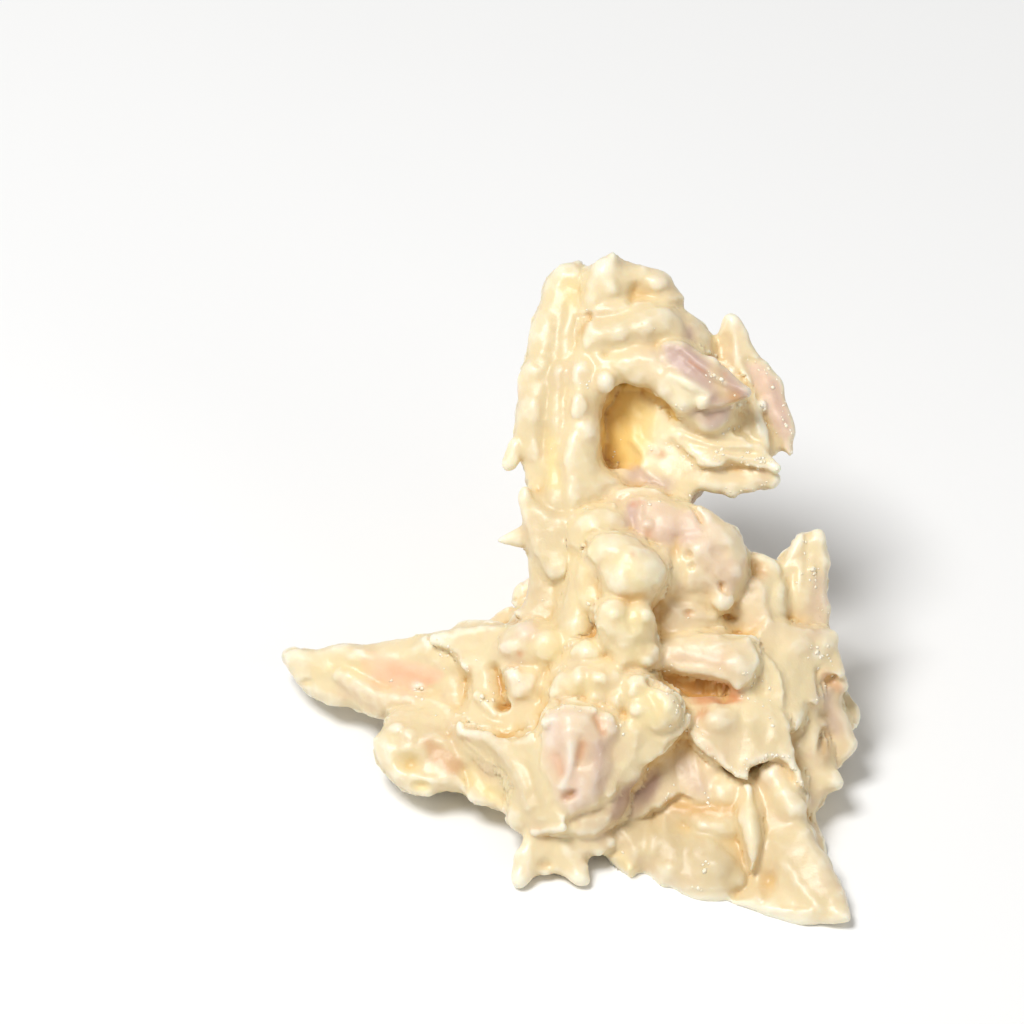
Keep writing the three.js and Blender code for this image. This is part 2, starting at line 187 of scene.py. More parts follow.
def rounded(outline: np.ndarray, spacing: float, closed: bool = True) -> np.ndarray:
    """A smooth line through the points of a rough one.

    Args:
        outline: The rough line, one row each.
        spacing: About how far apart the new points are.
        closed: Whether the line runs back to its start.

    Returns:
        The points of the smooth line.
    """
    count = len(outline)
    last = count if closed else count - 1
    pieces = []
    for i in range(last):
        if closed:
            a, b, c, d = (outline[(i + k) % count] for k in (-1, 0, 1, 2))
        else:
            a, b, c, d = (outline[min(max(i + k, 0), count - 1)] for k in (-1, 0, 1, 2))
        steps = max(1, round(float(np.linalg.norm((c - b)[:2])) / spacing))
        t = (np.arange(steps) / steps)[:, None]
        pieces.append(0.5 * (
            2 * b + (c - a) * t + (2 * a - 5 * b + 4 * c - d) * t**2
            + (3 * b - a - 3 * c + d) * t**3
        ))
    if not closed:
        pieces.append(outline[-1:])
    return np.vstack(pieces)


def nearest(points: np.ndarray, line: np.ndarray, closed: bool) -> tuple[np.ndarray, np.ndarray]:
    """How far points lie from a line, and where on it they are nearest.

    Args:
        points: Points in a plane, one row each.
        line: The corners of the line.
        closed: Whether it runs back to its start.

    Returns:
        The distance of each point, and the nearest place on the line.
    """
    best = np.full(len(points), np.inf)
    place = np.zeros((len(points), 2))
    ends = np.roll(line, -1, 0)
    for start, end in zip(line, ends) if closed else zip(line[:-1], ends[:-1]):
        along = end - start
        share = np.clip((points - start) @ along / max(along @ along, 1e-12), 0, 1)
        spot = start + share[:, None] * along
        gap = np.hypot(*(points - spot).T)
        nearer = gap < best
        best[nearer] = gap[nearer]
        place[nearer] = spot[nearer]
    return best, place


def within(points: np.ndarray, line: np.ndarray) -> np.ndarray:
    """Whether points lie inside a closed line.

    Args:
        points: Points in a plane, one row each.
        line: The corners of the closed line.

    Returns:
        One truth value for each point.
    """
    inside = np.zeros(len(points), bool)
    x, y = points.T
    for (x0, y0), (x1, y1) in zip(line, np.roll(line, -1, 0)):
        if y0 != y1:
            crosses = (y0 > y) != (y1 > y)
            inside ^= crosses & (x < (x1 - x0) * (y - y0) / (y1 - y0) + x0)
    return inside


# ---------------------------------------------------------------- forms


@dataclass(frozen=True)
class Form:
    """One piece of the cluster, before all of them run together."""

    def make(self) -> bpy.types.Object:
        """Models the piece in its place."""
        raise NotImplementedError

    def cover(self, points: np.ndarray) -> tuple[Hue | None, np.ndarray | None]:
        """Its colour and how strongly it shows at each point; nothing for a plain coat."""
        return None, None


@dataclass(frozen=True)
class Rod(Form):
    """A rod with an oval section and round ends, such as a coated sliver of almond.

    It is wide across the face unless it is turned about its length.
    """

    start: Point
    end: Point
    widths: tuple[float, float]
    thickness: float
    turn: float = 0.0
    blunt: float = 0.2  # how much less it thins towards its end than it narrows
    standing: bool = False  # given as (x, y, z) and not on the face
    hue: Hue | None = None
    strength: float = 0.6
    SIDES = 26
    RINGS = 16
    ENDS = (0.3, 0.6)  # where its colour starts to fade, and is gone, in lengths from its middle
    NEAR = (0.3, 1.0)  # and in millimetres from its surface

    def axes(self) -> tuple[Matrix, float]:
        """The place and turn of the rod in its own frame, and its length."""
        start, end = Vector(self.start), Vector(self.end)
        along = (end - start).normalized()
        across = along.cross(Vector((0, 0, 1))).normalized()
        across = Matrix.Rotation(math.radians(self.turn), 3, along) @ across
        grid = Matrix((across, across.cross(along), along)).transposed().to_4x4()
        return Matrix.Translation(start) @ grid, (end - start).length

    def make(self) -> bpy.types.Object:
        """Models it from a ball: one half is drawn out along the rod and narrowed."""
        grid, length = self.axes()
        bpy.ops.mesh.primitive_uv_sphere_add(
            segments=self.SIDES, ring_count=self.RINGS, radius=self.widths[0] / 2
        )
        obj = bpy.context.object
        share = self.thickness / self.widths[0]
        heights = np.array([p.center.z for p in obj.data.polygons])
        edit(obj, heights > 0)
        bpy.ops.mesh.extrude_region_move(TRANSFORM_OT_translate={"value": (0, 0, length)})
        narrow = self.widths[1] / self.widths[0]
        thin = min(1.0, narrow + self.blunt)
        bpy.ops.transform.resize(
            value=(narrow, thin, min(narrow, thin)), center_override=(0, 0, length)
        )
        bpy.ops.mesh.select_all(action="SELECT")
        bpy.ops.transform.resize(value=(1, share, 1), center_override=(0, 0, 0))
        leave()
        place = (STANDING if self.standing else FACE) @ Matrix.Scale(MM, 4)
        obj.data.transform(place @ grid)
        return obj

    def cover(self, points: np.ndarray) -> tuple[Hue | None, np.ndarray | None]:
        """Its colour, on the skin that lies over it.

        Args:
            points: Points of the skin, in metres.

        Returns:
            The hue and how strongly it shows at each point.
        """
        if self.hue is None:
            return None, None
        grid, length = self.axes()
        place = (STANDING if self.standing else FACE) @ Matrix.Scale(MM, 4) @ grid
        local = moved(points, place.inverted())
        share = np.clip(local[:, 2] / length, 0, 1)
        wide = np.interp(share, (0, 1), self.widths) / 2
        thick = wide * self.thickness / self.widths[0]
        past = (local[:, 2] - share * length) / thick
        depth = (np.sqrt((local[:, 0] / wide)**2 + (local[:, 1] / thick)**2 + past**2) - 1) * thick
        ends = 1 - soft_step(np.abs(local[:, 2] / length - 0.5), *self.ENDS)
        return self.hue, self.strength * ends * (1 - soft_step(np.abs(depth), *self.NEAR))


def drip(start: Point, end: Point, start_radius: float, end_radius: float) -> Rod:
    """A drip or ridge of chocolate, round and narrowing to its end, as a rod."""
    return Rod(start, end, (2 * start_radius, 2 * end_radius), 2 * start_radius, blunt=0.0)


@dataclass(frozen=True)
class Lump(Form):
    """A rounded lump of chocolate, turned in the plane of the face."""

    centre: Point
    radii: Point
    turn: float = 0.0
    SIDES = 32
    RINGS = 20

    def make(self) -> bpy.types.Object:
        """Models it from a ball that is drawn to its three radii in edit mode."""
        bpy.ops.mesh.primitive_uv_sphere_add(
            segments=self.SIDES, ring_count=self.RINGS, radius=1.0
        )
        obj = bpy.context.object
        edit(obj)
        bpy.ops.transform.resize(value=self.radii, center_override=(0, 0, 0))
        leave()
        turn = Matrix.Rotation(math.radians(self.turn), 4, "Z")
        obj.data.transform(FACE @ Matrix.Scale(MM, 4) @ Matrix.Translation(self.centre) @ turn)
        return obj


@dataclass(frozen=True)
class Sheet(Form):
    """A coated nut or a sheet of chocolate, drawn by its outline as the face shows it.

    Its top rolls over at the edge by rim.
    """

    edge: str  # right and rise of each corner
    tops: str  # right, rise and out of each point that its top passes through
    thick: float = 2.2
    rim: float = 1.0
    torn: float = 0.0  # how far its edge is frayed
    hue: Hue | None = None
    strength: float = 0.7
    CELL = 0.34
    TAPER = 0.4  # how far it narrows below, as a share of its thickness
    MOST = 0.45  # and at most, as a share of its own width
    FRAY = (0.6, 0.4)  # how far a point of a torn edge goes its own way, and its neighbour's
    HOLD = 4.0  # how firmly its top is kept from tilting
    EASE = 1.6  # how softly a top point pulls on what is near it
    FALL = 1.5  # how fast that pull falls off
    SHORE = 0.9  # how far from its edge its colour is full
    NEAR = (0.9, 1.8)  # where its colour starts to fade, and is gone, in millimetres from its top

    def outline(self) -> np.ndarray:
        """Its edge as a smooth line, frayed where it is torn."""
        line = rounded(points_of(self.edge), self.CELL)
        if not self.torn:
            return line
        pull = np.random.default_rng(len(line)).normal(size=len(line))
        pull = self.FRAY[0] * pull + self.FRAY[1] * np.roll(pull, 1)
        way = np.roll(line, -1, 0) - np.roll(line, 1, 0)
        way /= np.maximum(np.hypot(*way.T), 1e-6)[:, None]
        return line + self.torn * pull[:, None] * np.stack((-way[:, 1], way[:, 0]), 1)

    def top(self, points: np.ndarray) -> np.ndarray:
        """The height of its top: a sloping plane, bent to pass near each top point.

        Args:
            points: Places on the face, one row each.

        Returns:
            How far out of the face the top is at each.
        """
        given = points_of(self.tops)
        centre = given[:, :2].mean(0)
        slopes = np.c_[given[:, :2] - centre, np.ones(len(given))]
        hold = np.diag((self.HOLD, self.HOLD, 0.0))
        plane = np.linalg.solve(slopes.T @ slopes + hold, slopes.T @ given[:, 2])
        left = given[:, 2] - slopes @ plane
        gaps = ((points[:, None] - given[None, :, :2])**2).sum(2) + self.EASE**2
        pulls = gaps**-self.FALL
        bend = (pulls * left).sum(1) / pulls.sum(1)
        return np.c_[points - centre, np.ones(len(points))] @ plane + bend

    def make(self) -> bpy.types.Object:
        """Models it from a grid that is trimmed to the outline, shaped and thickened."""
        line = self.outline()
        low, high = line.min(0) - self.CELL, line.max(0) + self.CELL
        counts = np.ceil((high - low) / self.CELL).astype(int)
        bpy.ops.mesh.primitive_grid_add(
            x_subdivisions=int(counts[0]), y_subdivisions=int(counts[1]), size=1.0
        )
        obj = bpy.context.object
        points = read(obj.data)
        points[:, :2] = low + (points[:, :2] + 0.5) * (high - low)
        inside = within(points[:, :2], line)
        gap, place = nearest(points[:, :2], line, True)
        points[~inside, :2] = place[~inside]
        depth = np.where(inside, np.minimum(gap, self.rim), 0.0)
        roll = self.rim - np.sqrt(np.maximum(self.rim**2 - (self.rim - depth)**2, 0))
        points[:, 2] = self.top(points[:, :2]) - roll
        write(obj.data, points)
        outside = np.array([not inside[list(p.vertices)].any() for p in obj.data.polygons])
        edit(obj, outside)
        bpy.ops.mesh.delete(type="FACE")
        bpy.ops.mesh.select_all(action="SELECT")
        middle, reach = (high + low) / 2, (high - low) / 2
        for share in (0.0, self.TAPER):
            drop = (0, 0, -self.thick / 2)
            bpy.ops.mesh.extrude_region_move(TRANSFORM_OT_translate={"value": drop})
            narrow = 1 - np.minimum(share * self.thick / reach, self.MOST)
            bpy.ops.transform.resize(value=(*narrow, 1), center_override=(*middle, 0))
        bpy.ops.mesh.select_all(action="SELECT")
        bpy.ops.mesh.normals_make_consistent(inside=False)
        leave()
        obj.data.transform(FACE @ Matrix.Scale(MM, 4))
        return obj

    def cover(self, points: np.ndarray) -> tuple[Hue | None, np.ndarray | None]:
        """Its colour, on the skin that lies over its top.

        Args:
            points: Points of the skin, in metres.

        Returns:
            The hue and how strongly it shows at each point.
        """
        if self.hue is None:
            return None, None
        seen = moved(points, (FACE @ Matrix.Scale(MM, 4)).inverted())
        line = self.outline()
        near = np.all((seen[:, :2] > line.min(0)) & (seen[:, :2] < line.max(0)), 1)
        near &= seen[:, 2] > self.top(seen[:, :2]) - self.NEAR[1] - self.rim
        shows = np.zeros(len(points))
        at = seen[near]
        gap = nearest(at[:, :2], line, True)[0] * within(at[:, :2], line)
        below = np.abs(at[:, 2] - self.top(at[:, :2]))
        shows[near] = soft_step(gap, 0.0, self.SHORE) * (1 - soft_step(below, *self.NEAR))
        return self.hue, self.strength * shows


# ---------------------------------------------------------------- work on the skin


@dataclass(frozen=True)
class Mark:
    """A ridge, groove or crack that is worked into the skin along a line of the face."""

    path: str
    height: float  # above the skin, or below it when negative
    width: float
    STEP = 0.5
    REACH = 3  # how far from its line it still counts, in widths

    def lift(self, places: np.ndarray) -> np.ndarray:
        """How far each place of the face is raised.

        Args:
            places: (right, rise) of each point.

        Returns:
            The rise of each, in millimetres.
        """
        line = points_of(self.path)
        if len(line) > 2:
            line = rounded(line, self.STEP, closed=False)
        reach = self.REACH * self.width
        near = np.all((places > line.min(0) - reach) & (places < line.max(0) + reach), 1)
        rise = np.zeros(len(places))
        gap = nearest(places[near], line, False)[0]
        rise[near] = self.height * np.exp(-((gap / self.width)**2))
        return rise


@dataclass(frozen=True)
class Dab:
    """A small rounded bump or pit on the face."""

    centre: Point
    radii: Point
    height: float
    turn: float = 0.0
    STEEP = 1.5  # more gives it a flatter middle and steeper sides

    def lift(self, places: np.ndarray) -> np.ndarray:
        """How far each place of the face is raised.

        Args:
            places: (right, rise) of each point.

        Returns:
            The rise of each, in millimetres.
        """
        turn = math.radians(self.turn)
        offset = places - np.array(self.centre)
        across = (offset[:, 0] * math.cos(turn) + offset[:, 1] * math.sin(turn)) / self.radii[0]
        up = (offset[:, 1] * math.cos(turn) - offset[:, 0] * math.sin(turn)) / self.radii[1]
        return self.height * np.exp(-((across**2 + up**2)**self.STEEP))


def dabs(text: str) -> tuple[Dab, ...]:
    """Dabs written as text: right, rise, half width, half height, height and, if any, turn."""
    return tuple(Dab(row[:2], row[2:4], *row[4:]) for row in rows_of(text))


@dataclass(frozen=True)
class Tint:
    """A place where nut or thin chocolate shows its own colour; some of them are painted shade."""

    path: str
    hue: Hue
    width: float  # of the line, or of the soft edge of a filled patch
    strength: float = 0.7
    filled: bool = False
    STEP = 0.5
    REACH = 2.5  # how far from its line it still counts, in widths

    def shows(self, places: np.ndarray) -> np.ndarray:
        """How strongly it shows at each place of the face.

        Args:
            places: (right, rise) of each point.

        Returns:
            A share for each.
        """
        line = points_of(self.path)
        reach = self.REACH * self.width
        near = np.all((places > line.min(0) - reach) & (places < line.max(0) + reach), 1)
        share = np.zeros(len(places))
        if not near.any():
            return share
        at = places[near]
        if self.filled:
            line = rounded(line, self.STEP)
            gap = nearest(at, line, True)[0] * np.where(within(at, line), 1, -1)
            share[near] = self.strength * soft_step(gap, -self.width, self.width)
            return share
        gap = np.hypot(*(at - line[0]).T) if len(line) == 1 else nearest(at, line, False)[0]
        share[near] = self.strength * np.exp(-((gap / self.width)**2))
        return share


Marks = tuple[Mark | Dab, ...]
Tints = tuple[Tint, ...]


@dataclass(frozen=True)
class Region:
    """A sub-assembly: its forms, the marks worked into them, and their colours."""

    marks: Marks = ()
    tints: Tints = ()

    def forms(self) -> list[Form]:
        """The forms among its fields."""
        values = [getattr(self, field.name) for field in fields(self)]
        forms = [value for value in values if isinstance(value, Form)]
        groups = [value for value in values if isinstance(value, tuple)]
        return forms + [item for group in groups for item in group if isinstance(item, Form)]

    def build(self) -> list[bpy.types.Object]:
        """Models its forms."""
        built = [form.make() for form in self.forms()]
        LOG.info("%s: %d forms, %d marks", type(self).__name__, len(built), len(self.marks))
        return built


# ---------------------------------------------------------------- the face, from the top down


@dataclass(frozen=True)
class Arm(Region):
    """The tall arm: long slivers side by side, coated together."""

    left: Sheet = Sheet(
        "-4.4 27.9, -4 29.6, -3.3 31.5, -2.8 33.1, -2.5 34.2, -1.6 35.2, 0 35.9, 0.6 36.6, 1.5 37, "
        "2.1 36.2, 2.3 35.3, 1.6 33.5, 1.3 31.5, 1.3 29.5, 1.1 27.5, 0.9 26, 0.5 24.8, 0 23.5, -0.1 22, "
        "-0.3 20, -0.6 18, -1.4 16, -1.7 14, -1.6 12, -1.4 10, -1 8.6, -2.6 8, -3.8 9.2, -4.3 11.1, "
        "-4.1 12, -4.2 13, -5 14.3, -5.6 16, -6 17.7, -5.9 19.1, -5.6 20.3, -5 22.5, -4.6 24.3",
        "-0.4 36 -11.6, -1 30 -10.2, -2.4 22 -8.4, -3.2 15 -7.3, -2.6 9 -6.6",
        thick=3.2, rim=2.6,
    )
    right: Sheet = Sheet(
        "1 25.8, 0 24.4, -0.3 23, 0 21.5, 0.2 20, -0.2 18, -0.8 16, -1.2 14.5, -1.1 12, -0.9 10, "
        "-0.5 8.4, 0.3 7.6, 2.4 8.2, 4.4 9, 5.2 10.2, 6.9 10.9, 5.6 12.1, 4.2 13, 3.8 14.3, 4 16.4, "
        "3.9 17.3, 3.7 19, 3.9 20.4, 4.6 21.1, 5.2 22.2, 5 23.5, 4.4 24.6, 3 25.6",
        "2.2 25 -6.9, 1.8 20 -6.2, 1.6 15 -5.5, 1.6 9 -4.9, 5.4 11 -6.4",
        thick=5, rim=2.3,
    )
    core_top: Rod = Rod((0.3, 34.2, -13.4), (-2.9, 21, -11), (4.4, 5.2), 4.6)
    core: Rod = Rod((-3.2, 23, -11), (-2.5, 7.5, -9.8), (5, 4), 4.8)
    upper_seam: Rod = Rod((0.9, 34, -12.4), (-0.2, 22, -9.6), (3.6, 3.4), 3.4)
    lower_seam: Rod = Rod((-0.3, 23.5, -9.3), (-1.2, 8.6, -7.3), (3.4, 3.6), 3.6)
    nub: Rod = drip((-5.6, 15.6, -9.2), (-6.5, 13.6, -8.9), 1, 0.9)
    spike: Rod = drip((-4.2, 5.4, -7.6), (-7.6, 4.9, -7.6), 1.5, 0.22)
    bead: Lump = Lump((4.2, 22.7, -7), (1.2, 1.3, 1.4))
    pearl: Lump = Lump((1.2, 20, -6.5), (1.2, 1.7, 1.1))
    marks: Marks = (
        Mark("2.2 35, 1.6 32.6, 2 30.6, 1.4 28.6, 1.1 26.9, 1 25.5, 0.1 23.9, -0.2 21, -0.4 18, -1 15, "
             "-1.2 11.5", -0.24, 0.7),
        Mark("-1.9 16.5, -1.8 11", -0.24, 1.26),
        *dabs("-3.4 24.6 1.5 1.2 0.35, -3.9 19.2 1.2 1.6 0.4, 0.4 33.4 1.1 1.2 -0.4, "
              "2.6 17.4 1 1.2 0.3, 2.4 30.2 0.5 0.5 -0.6"),
    )
    tints: Tints = (
        # painted shade in the recess between the arm and the cap
        Tint("0.4 33.6, 0.2 31.4", Hue.YELLOW, 1.1, 0.5),
        # painted shade in the groove between the arm's slivers
        Tint("-1.8 16, -1.6 11.2", Hue.YELLOW, 0.9, 0.7),
        # painted shade down the arm's left sliver
        Tint("-0.4 31, -2.4 24, -3.4 17", Hue.DUSK, 1.8, 0.4),
        # painted shade in a pit
        Tint("2.4 30.2", Hue.BROWN, 0.4, 0.3),
        # painted shade in the crease between the arm and the brow
        Tint("2.1 29.4, 1.5 28.2", Hue.AMBER, 0.4, 0.5),
    )


@dataclass(frozen=True)
class Cap(Region):
    """The knobbly cap at the top, right of the arm, and the swollen brow under it."""

    cap: Sheet = Sheet(
        "2.4 35.3, 3.8 36.6, 4.6 37.2, 5.3 37.7, 5.9 37.1, 6.3 36.4, 7.2 36.1, 8.8 36, 10.2 35.5, "
        "11.2 34.5, 12 33.6, 12.9 33.1, 13.6 32.3, 13.3 31.5, 13.1 30.9, 12.2 30.6, 10.5 30.6, 8.5 30.4, "
        "6.5 30, 4.5 29.6, 2.6 30, 1.6 31.4, 1.7 33.2",
        "4.3 34.4 -8.5, 7.8 35 -9.3, 8.5 32.6 -10.4, 11.5 33 -9.7, 3.4 31.6 -8.6",
        thick=4.6, rim=2.2,
    )
    knob: Lump = Lump((4.4, 33.6, -11.2), (2.6, 2.6, 2.7))
    crown: Lump = Lump((9.6, 33.8, -12), (2.8, 2, 2.3), -12)
    neck: Lump = Lump((6.4, 30.6, -10.6), (5.6, 1.8, 2.5))
    brow: Sheet = Sheet(
        "1.1 28, 1.4 29.2, 2.4 30.1, 4 30, 6 30.3, 8 31, 10 31.3, 11.6 31, 13 30, 13.9 28.8, 14.3 27.6, "
        "13.9 26.4, 12.6 25.8, 11 26, 9 25.8, 7 25.6, 5 25.4, 3 25.4, 1.6 25.8, 1 27",
        "3 28 -6.9, 7.5 28.6 -6.2, 11.5 28.4 -6.9",
        thick=5, rim=2.9,
    )
    apron: Sheet = Sheet(
        "2.4 26.2, 4.5 26.6, 6.5 26.8, 9 26.8, 10.5 26.2, 12.5 24.8, 14.5 23.6, 16 22.4, 16.8 21.3, "
        "16.2 20.5, 14.8 20.2, 13.8 19.4, 12.8 19.2, 11.8 19.7, 11.2 20.4, 10.9 20.6, 10.3 21.2, "
        "9.8 21.7, 8.8 22.2, 7.4 22.3, 6 22.9, 5.3 22.2, 4.6 21.6, 3.6 22, 2.8 23.5",
        "4 24.4 -6.9, 8 24.3 -6, 12.6 22 -5, 16 21 -4.5",
        thick=3.4, rim=1.8,
    )
    almond: Sheet = Sheet(
        "10.5 27, 12 27.4, 13.7 26.9, 14.6 26.2, 15.5 25.6, 16.6 25, 17.9 24.3, 19 23.2, 19.9 22.2, "
        "20.5 21.4, 19.6 20.7, 18.2 20.2, 16.6 19.9, 15 20.2, 13.5 21.8, 12 23.8, 10.8 25",
        "11.5 26.4 -5.8, 14.4 26 -6.4, 14.2 24.6 -4, 17.2 22.8 -3.4, 16.4 20.8 -5.2, 20.1 21.5 -3.8, "
        "12.6 23.6 -5, 18.4 23.4 -4.6",
        thick=3.6, rim=0.6, hue=Hue.MAUVE, strength=0.8,
    )
    chin: Sheet = Sheet(
        "12.6 19.5, 14 20.3, 16.5 20.3, 18.8 20.5, 18.6 19.3, 18 18.2, 17.3 17.4, 16.1 16.9, 15 17.3, "
        "14 18.2",
        "14.5 19.2 -6.6, 17.4 19.4 -6.2",
        thick=3, rim=1.4, hue=Hue.MAUVE, strength=0.5,
    )
    bud: Lump = Lump((13.7, 29.4, -11.5), (1.2, 1.5, 1.5))
    small_bud: Lump = Lump((14, 27.6, -12.2), (0.9, 1.3, 1.2))
    marks: Marks = (
        Mark("4 35.6, 4.4 34.4, 5.2 32.8", 0.3, 0.98),
        Mark("7.9 33.6, 7.5 32.6, 7.1 31.8", -0.3, 0.49),
        Mark("12.8 26.4, 14.8 24.6, 17.4 22.8, 19.8 21.6", 0.3, 0.42),
        Mark("13.4 25, 15.8 22.9, 17.6 21.9", -0.21, 0.35),
        Mark("11.6 23.4, 14.2 22.2, 15.9 21.2, 15 20.4", 0.6, 0.6),
        *dabs("8.4 32.8 1.3 1 -0.3, 10.2 33.8 1.2 0.9 0.4, 5.2 28.4 1.6 1.3 0.4, "
              "9.8 29 1.8 1.2 0.35 10, 7.4 27.4 1 0.8 -0.3, 6.4 24.6 1.2 0.9 0.35, "
              "10.9 22.2 0.9 1.2 0.35, 4.2 25.8 0.5 0.4 -0.4"),
    )
    tints: Tints = (
        # painted shade under the cap's left lobe
        Tint("4.5 31, 3.4 30.4", Hue.BEIGE, 1, 0.5),
        # painted shade in the cap's recess
        Tint("8.4 32.6", Hue.AMBER, 0.9, 0.3),
        Tint("10.4 34.8, 12.2 32.6", Hue.BEIGE, 1.2, 0.4),
        Tint("13.7 28.5, 13.8 26.8", Hue.MAUVE, 0.6, 0.7),
        Tint("10.4 25.8, 12.4 24.4", Hue.MAUVE, 1.2, 0.35),
        Tint("13.6 25, 15.8 23.4", Hue.ORANGE, 0.16, 0.8),
        Tint("17.6 23.5", Hue.ORANGE, 0.3, 0.6),
        Tint("15.4 23.8, 18.2 21.6", Hue.DEEP_MAUVE, 0.3, 0.4),
        Tint("16.6 20.9, 19.8 21", Hue.DEEP_MAUVE, 0.6, 0.5),
        Tint("11.8 23, 13.8 22.2, 15.3 21.1, 14.4 20.3", Hue.CREAM, 0.8, 0.9),
        Tint("15.9 23.5, 17.6 22.5", Hue.WHITE, 0.22, 0.8),
        # painted shade along the brow
        Tint("4.5 28, 8 28.6, 12 28.2", Hue.DUSK, 1.8, 0.35),
        Tint("11.4 26.2, 14.6 26, 17.9 24.1, 20.3 21.5, 18.4 20, 18.4 18.6, 16.2 17.4, 15.4 19.6, "
             "16.2 21.4, 13.2 23.2", Hue.MAUVE, 0.5, 0.4, filled=True),
    )


@dataclass(frozen=True)
class Hollow(Region):
    """The hollow beside the arm, and the torn sheets that curl round below the brow."""

    # its colour is painted light: the glow inside the shaded hollow
    wall: Sheet = Sheet(
        "1 24, 5 24, 9 22.5, 12.5 20.5, 13 18, 11 16, 9.5 14.5, 8.5 13, 7 11.8, 4 11.5, 1 12",
        "2 18 -13.2, 5 22 -12.4, 5 13 -12.8, 9 20 -10.8, 12 19 -9.8, 10 16 -9.9, 8 14 -11",
        thick=2, rim=0.4, hue=Hue.GLOW, strength=0.95,
    )
    bare_nut: Rod = Rod((6.2, 11.4, -10.6), (12, 9.8, -9.8), (3.4, 3.2), 3,
                        hue=Hue.MAUVE, strength=0.7)
    bridge: Rod = Rod((14.6, 19.4, -12.4), (22.6, 15.4, -11.4), (4.4, 3), 3.2)
    upper_flap: Sheet = Sheet(
        "11.9 20, 13 18.8, 14 18.1, 16 17.6, 17.5 17.4, 19.1 16.9, 21.2 15.8, 22.4 15, 23.2 13.9, "
        "23.9 12.7, 22.8 12.8, 21.8 12.8, 21 13.3, 20.2 13, 19.6 13.8, 18.9 13.7, 17.5 13.4, 16.5 13.2, "
        "15.3 13.4, 14.9 13.7, 14.2 14.4, 13.4 15.1, 12.7 15.6, 12 16.2, 11.1 16.4, 10.7 15.8, 10.9 14.9, "
        "10.4 14.6, 9.8 15.2, 9.3 15.2, 9.1 14.4, 8.9 13.7, 8.3 14.6, 7.4 15.8, 7.2 17.5, 7.6 19.5, 9 21, "
        "10.5 21",
        "8 17 -11.2, 10 17 -10.2, 12.3 17.6 -8.8, 16 15.8 -8, 22 14.3 -8.4, 15.5 13.8 -7.5, 20 13.4 -7.8, "
        "9.2 14.6 -9.6",
        thick=1.4, rim=0.3, torn=0.2,
    )
    lower_flap: Sheet = Sheet(
        "8.8 14.6, 9.6 15.6, 11.5 16, 14 16.2, 17 16, 20 15.4, 22.4 14, 23.8 12.7, 24 11.6, 23.3 10.9, "
        "22.3 10.8, 21.5 10.6, 20.6 10.2, 19.4 10.2, 18.9 9.7, 18.3 9.7, 17.7 10.2, 16.3 10.3, 15.2 10.4, "
        "14.3 10.2, 13.8 9.2, 13.2 9, 12.4 9.6, 11.4 10.2, 10.4 10.6, 9.4 11.2, 8.5 12, 8 13, 8.4 14",
        "10 14 -9.8, 12 12 -8.5, 16 12 -8.3, 21 12 -8.5, 16 10.6 -8.9, 22 11 -9, 14 15 -9.6, 20 14.4 -9.4",
        thick=2.6, rim=0.7, torn=0.08,
    )
    finger: Sheet = Sheet(
        "9.2 13.2, 10.5 12.3, 12 11, 13.4 10.2, 14.2 9, 13.2 8.8, 11.5 9.8, 9.5 11.2, 8.4 12.3",
        "9 12.4 -8.8, 13.4 9.4 -7.6",
        thick=2.2, rim=0.9,
    )
    flake: Rod = Rod((5, 16, -10.4), (7.4, 14.2, -10.6), (0.8, 0.6), 0.5)
    back_wall: Rod = Rod((9, 19, -13.9), (21.6, 14.2, -13.1), (5.4, 3.6), 3.6)
    marks: Marks = (
        Mark("12.2 17.6, 15.5 16.4, 18.8 15.9", -0.24, 0.49),
        Mark("13.2 16.4, 16.4 15.2, 20.6 14.8", -0.18, 0.42),
        Mark("12.6 16.9, 16 15.8, 20.4 15.4", 0.18, 0.42),
        Mark("17.4 14.7, 19.4 14.2, 21.6 14", 0.18, 0.42),
        Mark("15.2 12.8, 18 13, 22 12.8", -0.3, 0.25),
        Mark("15 11.4, 18.4 11.1, 21.6 11.7", 0.21, 0.7),
        Mark("8.2 19.4, 8.4 16.6", -0.18, 0.56),
        Mark("10.2 19.8, 9.8 16.6", 0.21, 0.49),
        Mark("11.6 19.6, 11 17", -0.18, 0.49),
    )
    tints: Tints = (
        # painted shade deep in the hollow
        Tint("4.8 20.6, 4.6 15.6", Hue.AMBER, 0.7, 0.35),
        # takes the painted glow off where the wall turns to the light
        Tint("11.6 19.4, 10.4 15.4", Hue.CREAM, 2.2, 0.85),
        # painted shade, yellow, in the middle of the hollow's wall
        Tint("8.8 19.6, 8.4 15.4", Hue.YELLOW, 1.3, 0.5),
        Tint("9.6 14.9, 10.8 14.6", Hue.ORANGE, 0.6, 0.5),
        Tint("14 12.8, 20 12.6", Hue.BEIGE, 0.9, 0.4),
    )


